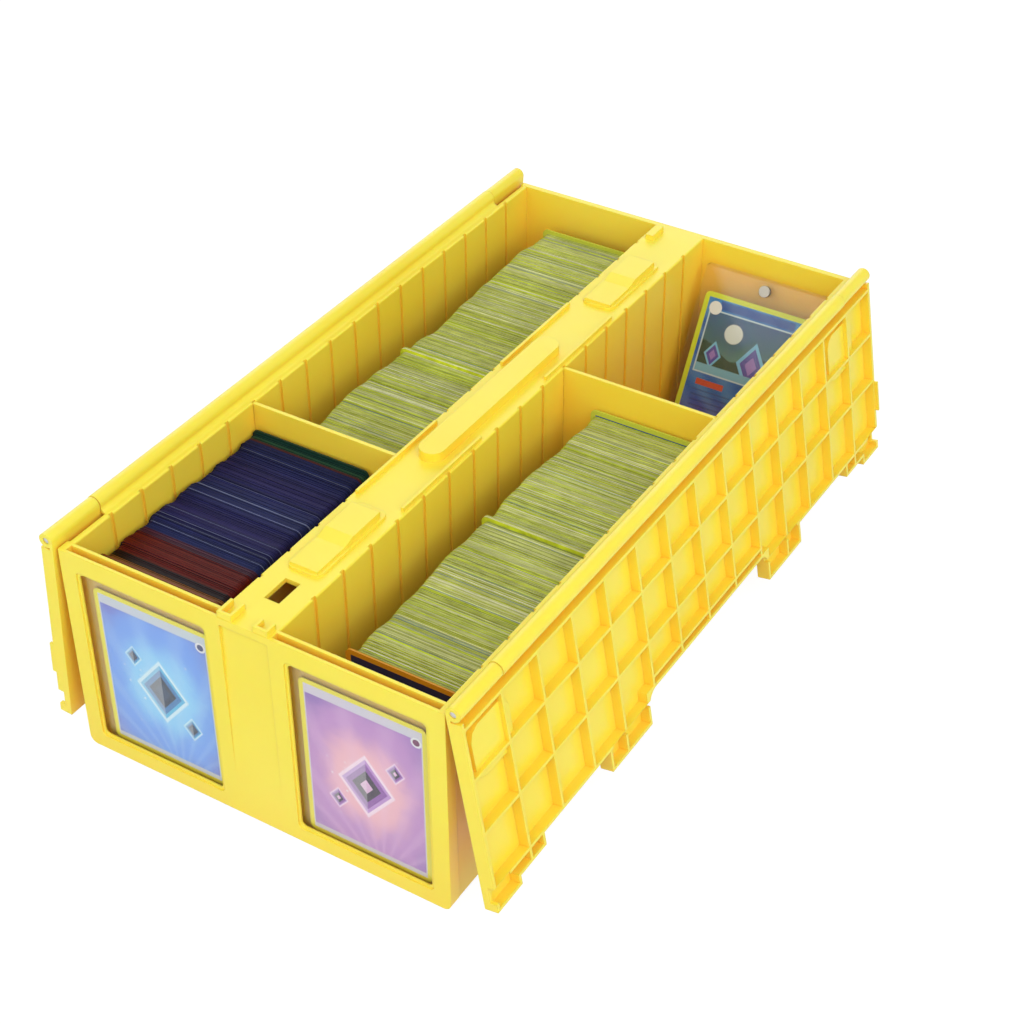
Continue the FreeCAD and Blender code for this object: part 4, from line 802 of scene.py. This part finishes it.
card_row("card_row_dark", "cards_dark_stack", "dark_cards", 11, dark_tones,
         sleeved_drop(1.5, ((0.7, 9.0, 1.0), (0.4, 33.0, 0.0))),
         slip(0.9, ((0.5, 31.0, 0.0), (0.4, 73.0, 1.0)), 0.15))
card_row("card_row_rear", "cards_rear_stack", "rear_cards", 23, pale_tones,
         bare_drop(2.2, ((1.3, 8.5, 3.4), (0.6, 27.0, 0.4), (0.4, 70.0, 0.0))),
         slip(1.0, ((0.7, 12.0, 2.0), (0.4, 41.0, 0.0)), 0.12), raised_at=0.36)
card_row("card_row_front", "cards_front_stack", "front_cards", 37, pale_tones,
         bare_drop(2.4, ((1.2, 7.0, 0.6), (0.7, 23.0, 2.0), (0.45, 61.0, 0.0))),
         slip(1.0, ((0.6, 15.0, 0.0), (0.35, 47.0, 1.0)), 0.12), raised_at=0.52)


# ------------------------------------------------------------ camera and stage
# The camera's place, and its focal length in pixels of the frame.
FRAME_PX = 1024
SENSOR_WIDE = 36.0
FOCAL_PX = 2032.11
AZIMUTH = math.radians(31.895)
ELEVATION = math.radians(37.472)
ROLL = math.radians(-0.271)
AIM = Vector((0.009946, 0.001873, 0.051))
DISTANCE = 0.98752

ahead = Vector((-math.sin(AZIMUTH) * math.cos(ELEVATION), math.cos(AZIMUTH) * math.cos(ELEVATION),
                -math.sin(ELEVATION)))
level_right = ahead.cross(Vector((0, 0, 1))).normalized()
level_up = level_right.cross(ahead)
right = math.cos(ROLL) * level_right + math.sin(ROLL) * level_up
up = -math.sin(ROLL) * level_right + math.cos(ROLL) * level_up
camera_data = bpy.data.cameras.new("photo_camera")
camera_data.sensor_width = SENSOR_WIDE
camera_data.sensor_fit = "HORIZONTAL"
camera_data.lens = FOCAL_PX / FRAME_PX * SENSOR_WIDE
camera_data.clip_start = 0.01
camera_data.clip_end = 50.0
camera = bpy.data.objects.new("photo_camera", camera_data)
bpy.context.scene.collection.objects.link(camera)
turn = Matrix((right, up, -ahead)).transposed().to_4x4()
camera.matrix_world = Matrix.Translation(AIM - DISTANCE * ahead) @ turn
bpy.context.scene.camera = camera


# Floor: side in metres, strength of its white glow, and how much of it the camera sees.
FLOOR_SIDE = 8.0
FLOOR_GLOW = 1.17
FLOOR_WHITE = 0.80
WORLD_LIGHT = 0.32


def seen_directly(tree):
    """1 for rays from the camera, a mirror or through glass; 0 for soft light."""
    ray = add(tree, "ShaderNodeLightPath")
    seen = math_node(tree, "ADD", ray.outputs["Is Camera Ray"], ray.outputs["Is Transmission Ray"])
    return math_node(tree, "ADD", seen, ray.outputs["Is Glossy Ray"], clamp=True)


def white_stage_material():
    """A pale floor that shows white to the camera and keeps a faint shadow."""
    mat, tree, output = new_material("pale_floor")
    place = add(tree, "ShaderNodeTexCoord")
    cloud = add(tree, "ShaderNodeTexNoise", Scale=3.0, Detail=2.0)
    join(tree, place.outputs["Object"], cloud.inputs["Vector"])
    pale = ramp(tree, [(0.3, grey(0.68)), (0.7, grey(0.72))], cloud.outputs["Fac"])
    shader = add(tree, "ShaderNodeBsdfPrincipled", Roughness=0.9)
    join(tree, pale.outputs["Color"], shader.inputs["Base Color"])
    glow = add(tree, "ShaderNodeEmission", Strength=FLOOR_GLOW)
    glow.inputs["Color"].default_value = WHITE
    share = math_node(tree, "MULTIPLY", seen_directly(tree), FLOOR_WHITE)
    blend = add(tree, "ShaderNodeMixShader")
    join(tree, share, blend.inputs["Fac"])
    join(tree, shader.outputs["BSDF"], blend.inputs[1])
    join(tree, glow.outputs["Emission"], blend.inputs[2])
    join(tree, blend.outputs["Shader"], output.inputs["Surface"])
    return mat


bpy.ops.mesh.primitive_plane_add(size=FLOOR_SIDE, location=(0, 0, 0))
floor = bpy.context.object
floor.name = "floor"
floor.data.materials.append(white_stage_material())

world = bpy.data.worlds.new("studio")
bpy.context.scene.world = world
world.use_nodes = True
sky = world.node_tree
sky.nodes.clear()
world_out = sky.nodes.new("ShaderNodeOutputWorld")
soft = add(sky, "ShaderNodeBackground", Strength=WORLD_LIGHT)
soft.inputs["Color"].default_value = WHITE
bright = add(sky, "ShaderNodeBackground", Strength=1.0)
bright.inputs["Color"].default_value = WHITE
blend = add(sky, "ShaderNodeMixShader")
join(sky, seen_directly(sky), blend.inputs["Fac"])
join(sky, soft.outputs["Background"], blend.inputs[1])
join(sky, bright.outputs["Background"], blend.inputs[2])
join(sky, blend.outputs["Shader"], world_out.inputs["Surface"])

# ------------------------------------------------------------ lamps
LAMP_AIM = Vector((0, 0, 0.05))


def soft_box(name, place, side, watts):
    """A square studio lamp of the given side, turned to the bin."""
    data = bpy.data.lights.new(name, "AREA")
    data.shape = "RECTANGLE"
    data.size = side
    data.size_y = side
    data.energy = watts
    lamp = bpy.data.objects.new(name, data)
    bpy.context.scene.collection.objects.link(lamp)
    lamp.location = place
    direction = LAMP_AIM - Vector(place)
    lamp.rotation_euler = direction.to_track_quat("-Z", "Y").to_euler()


soft_box("front", (-0.2, -1.6, 1.2), 2.2, 19.0)
soft_box("right_side", (1.45, -0.6, 1.35), 2.2, 30.0)
soft_box("back_left", (-1.2, 1.3, 1.0), 2.0, 15.0)

bpy.context.scene.view_settings.view_transform = "Standard"
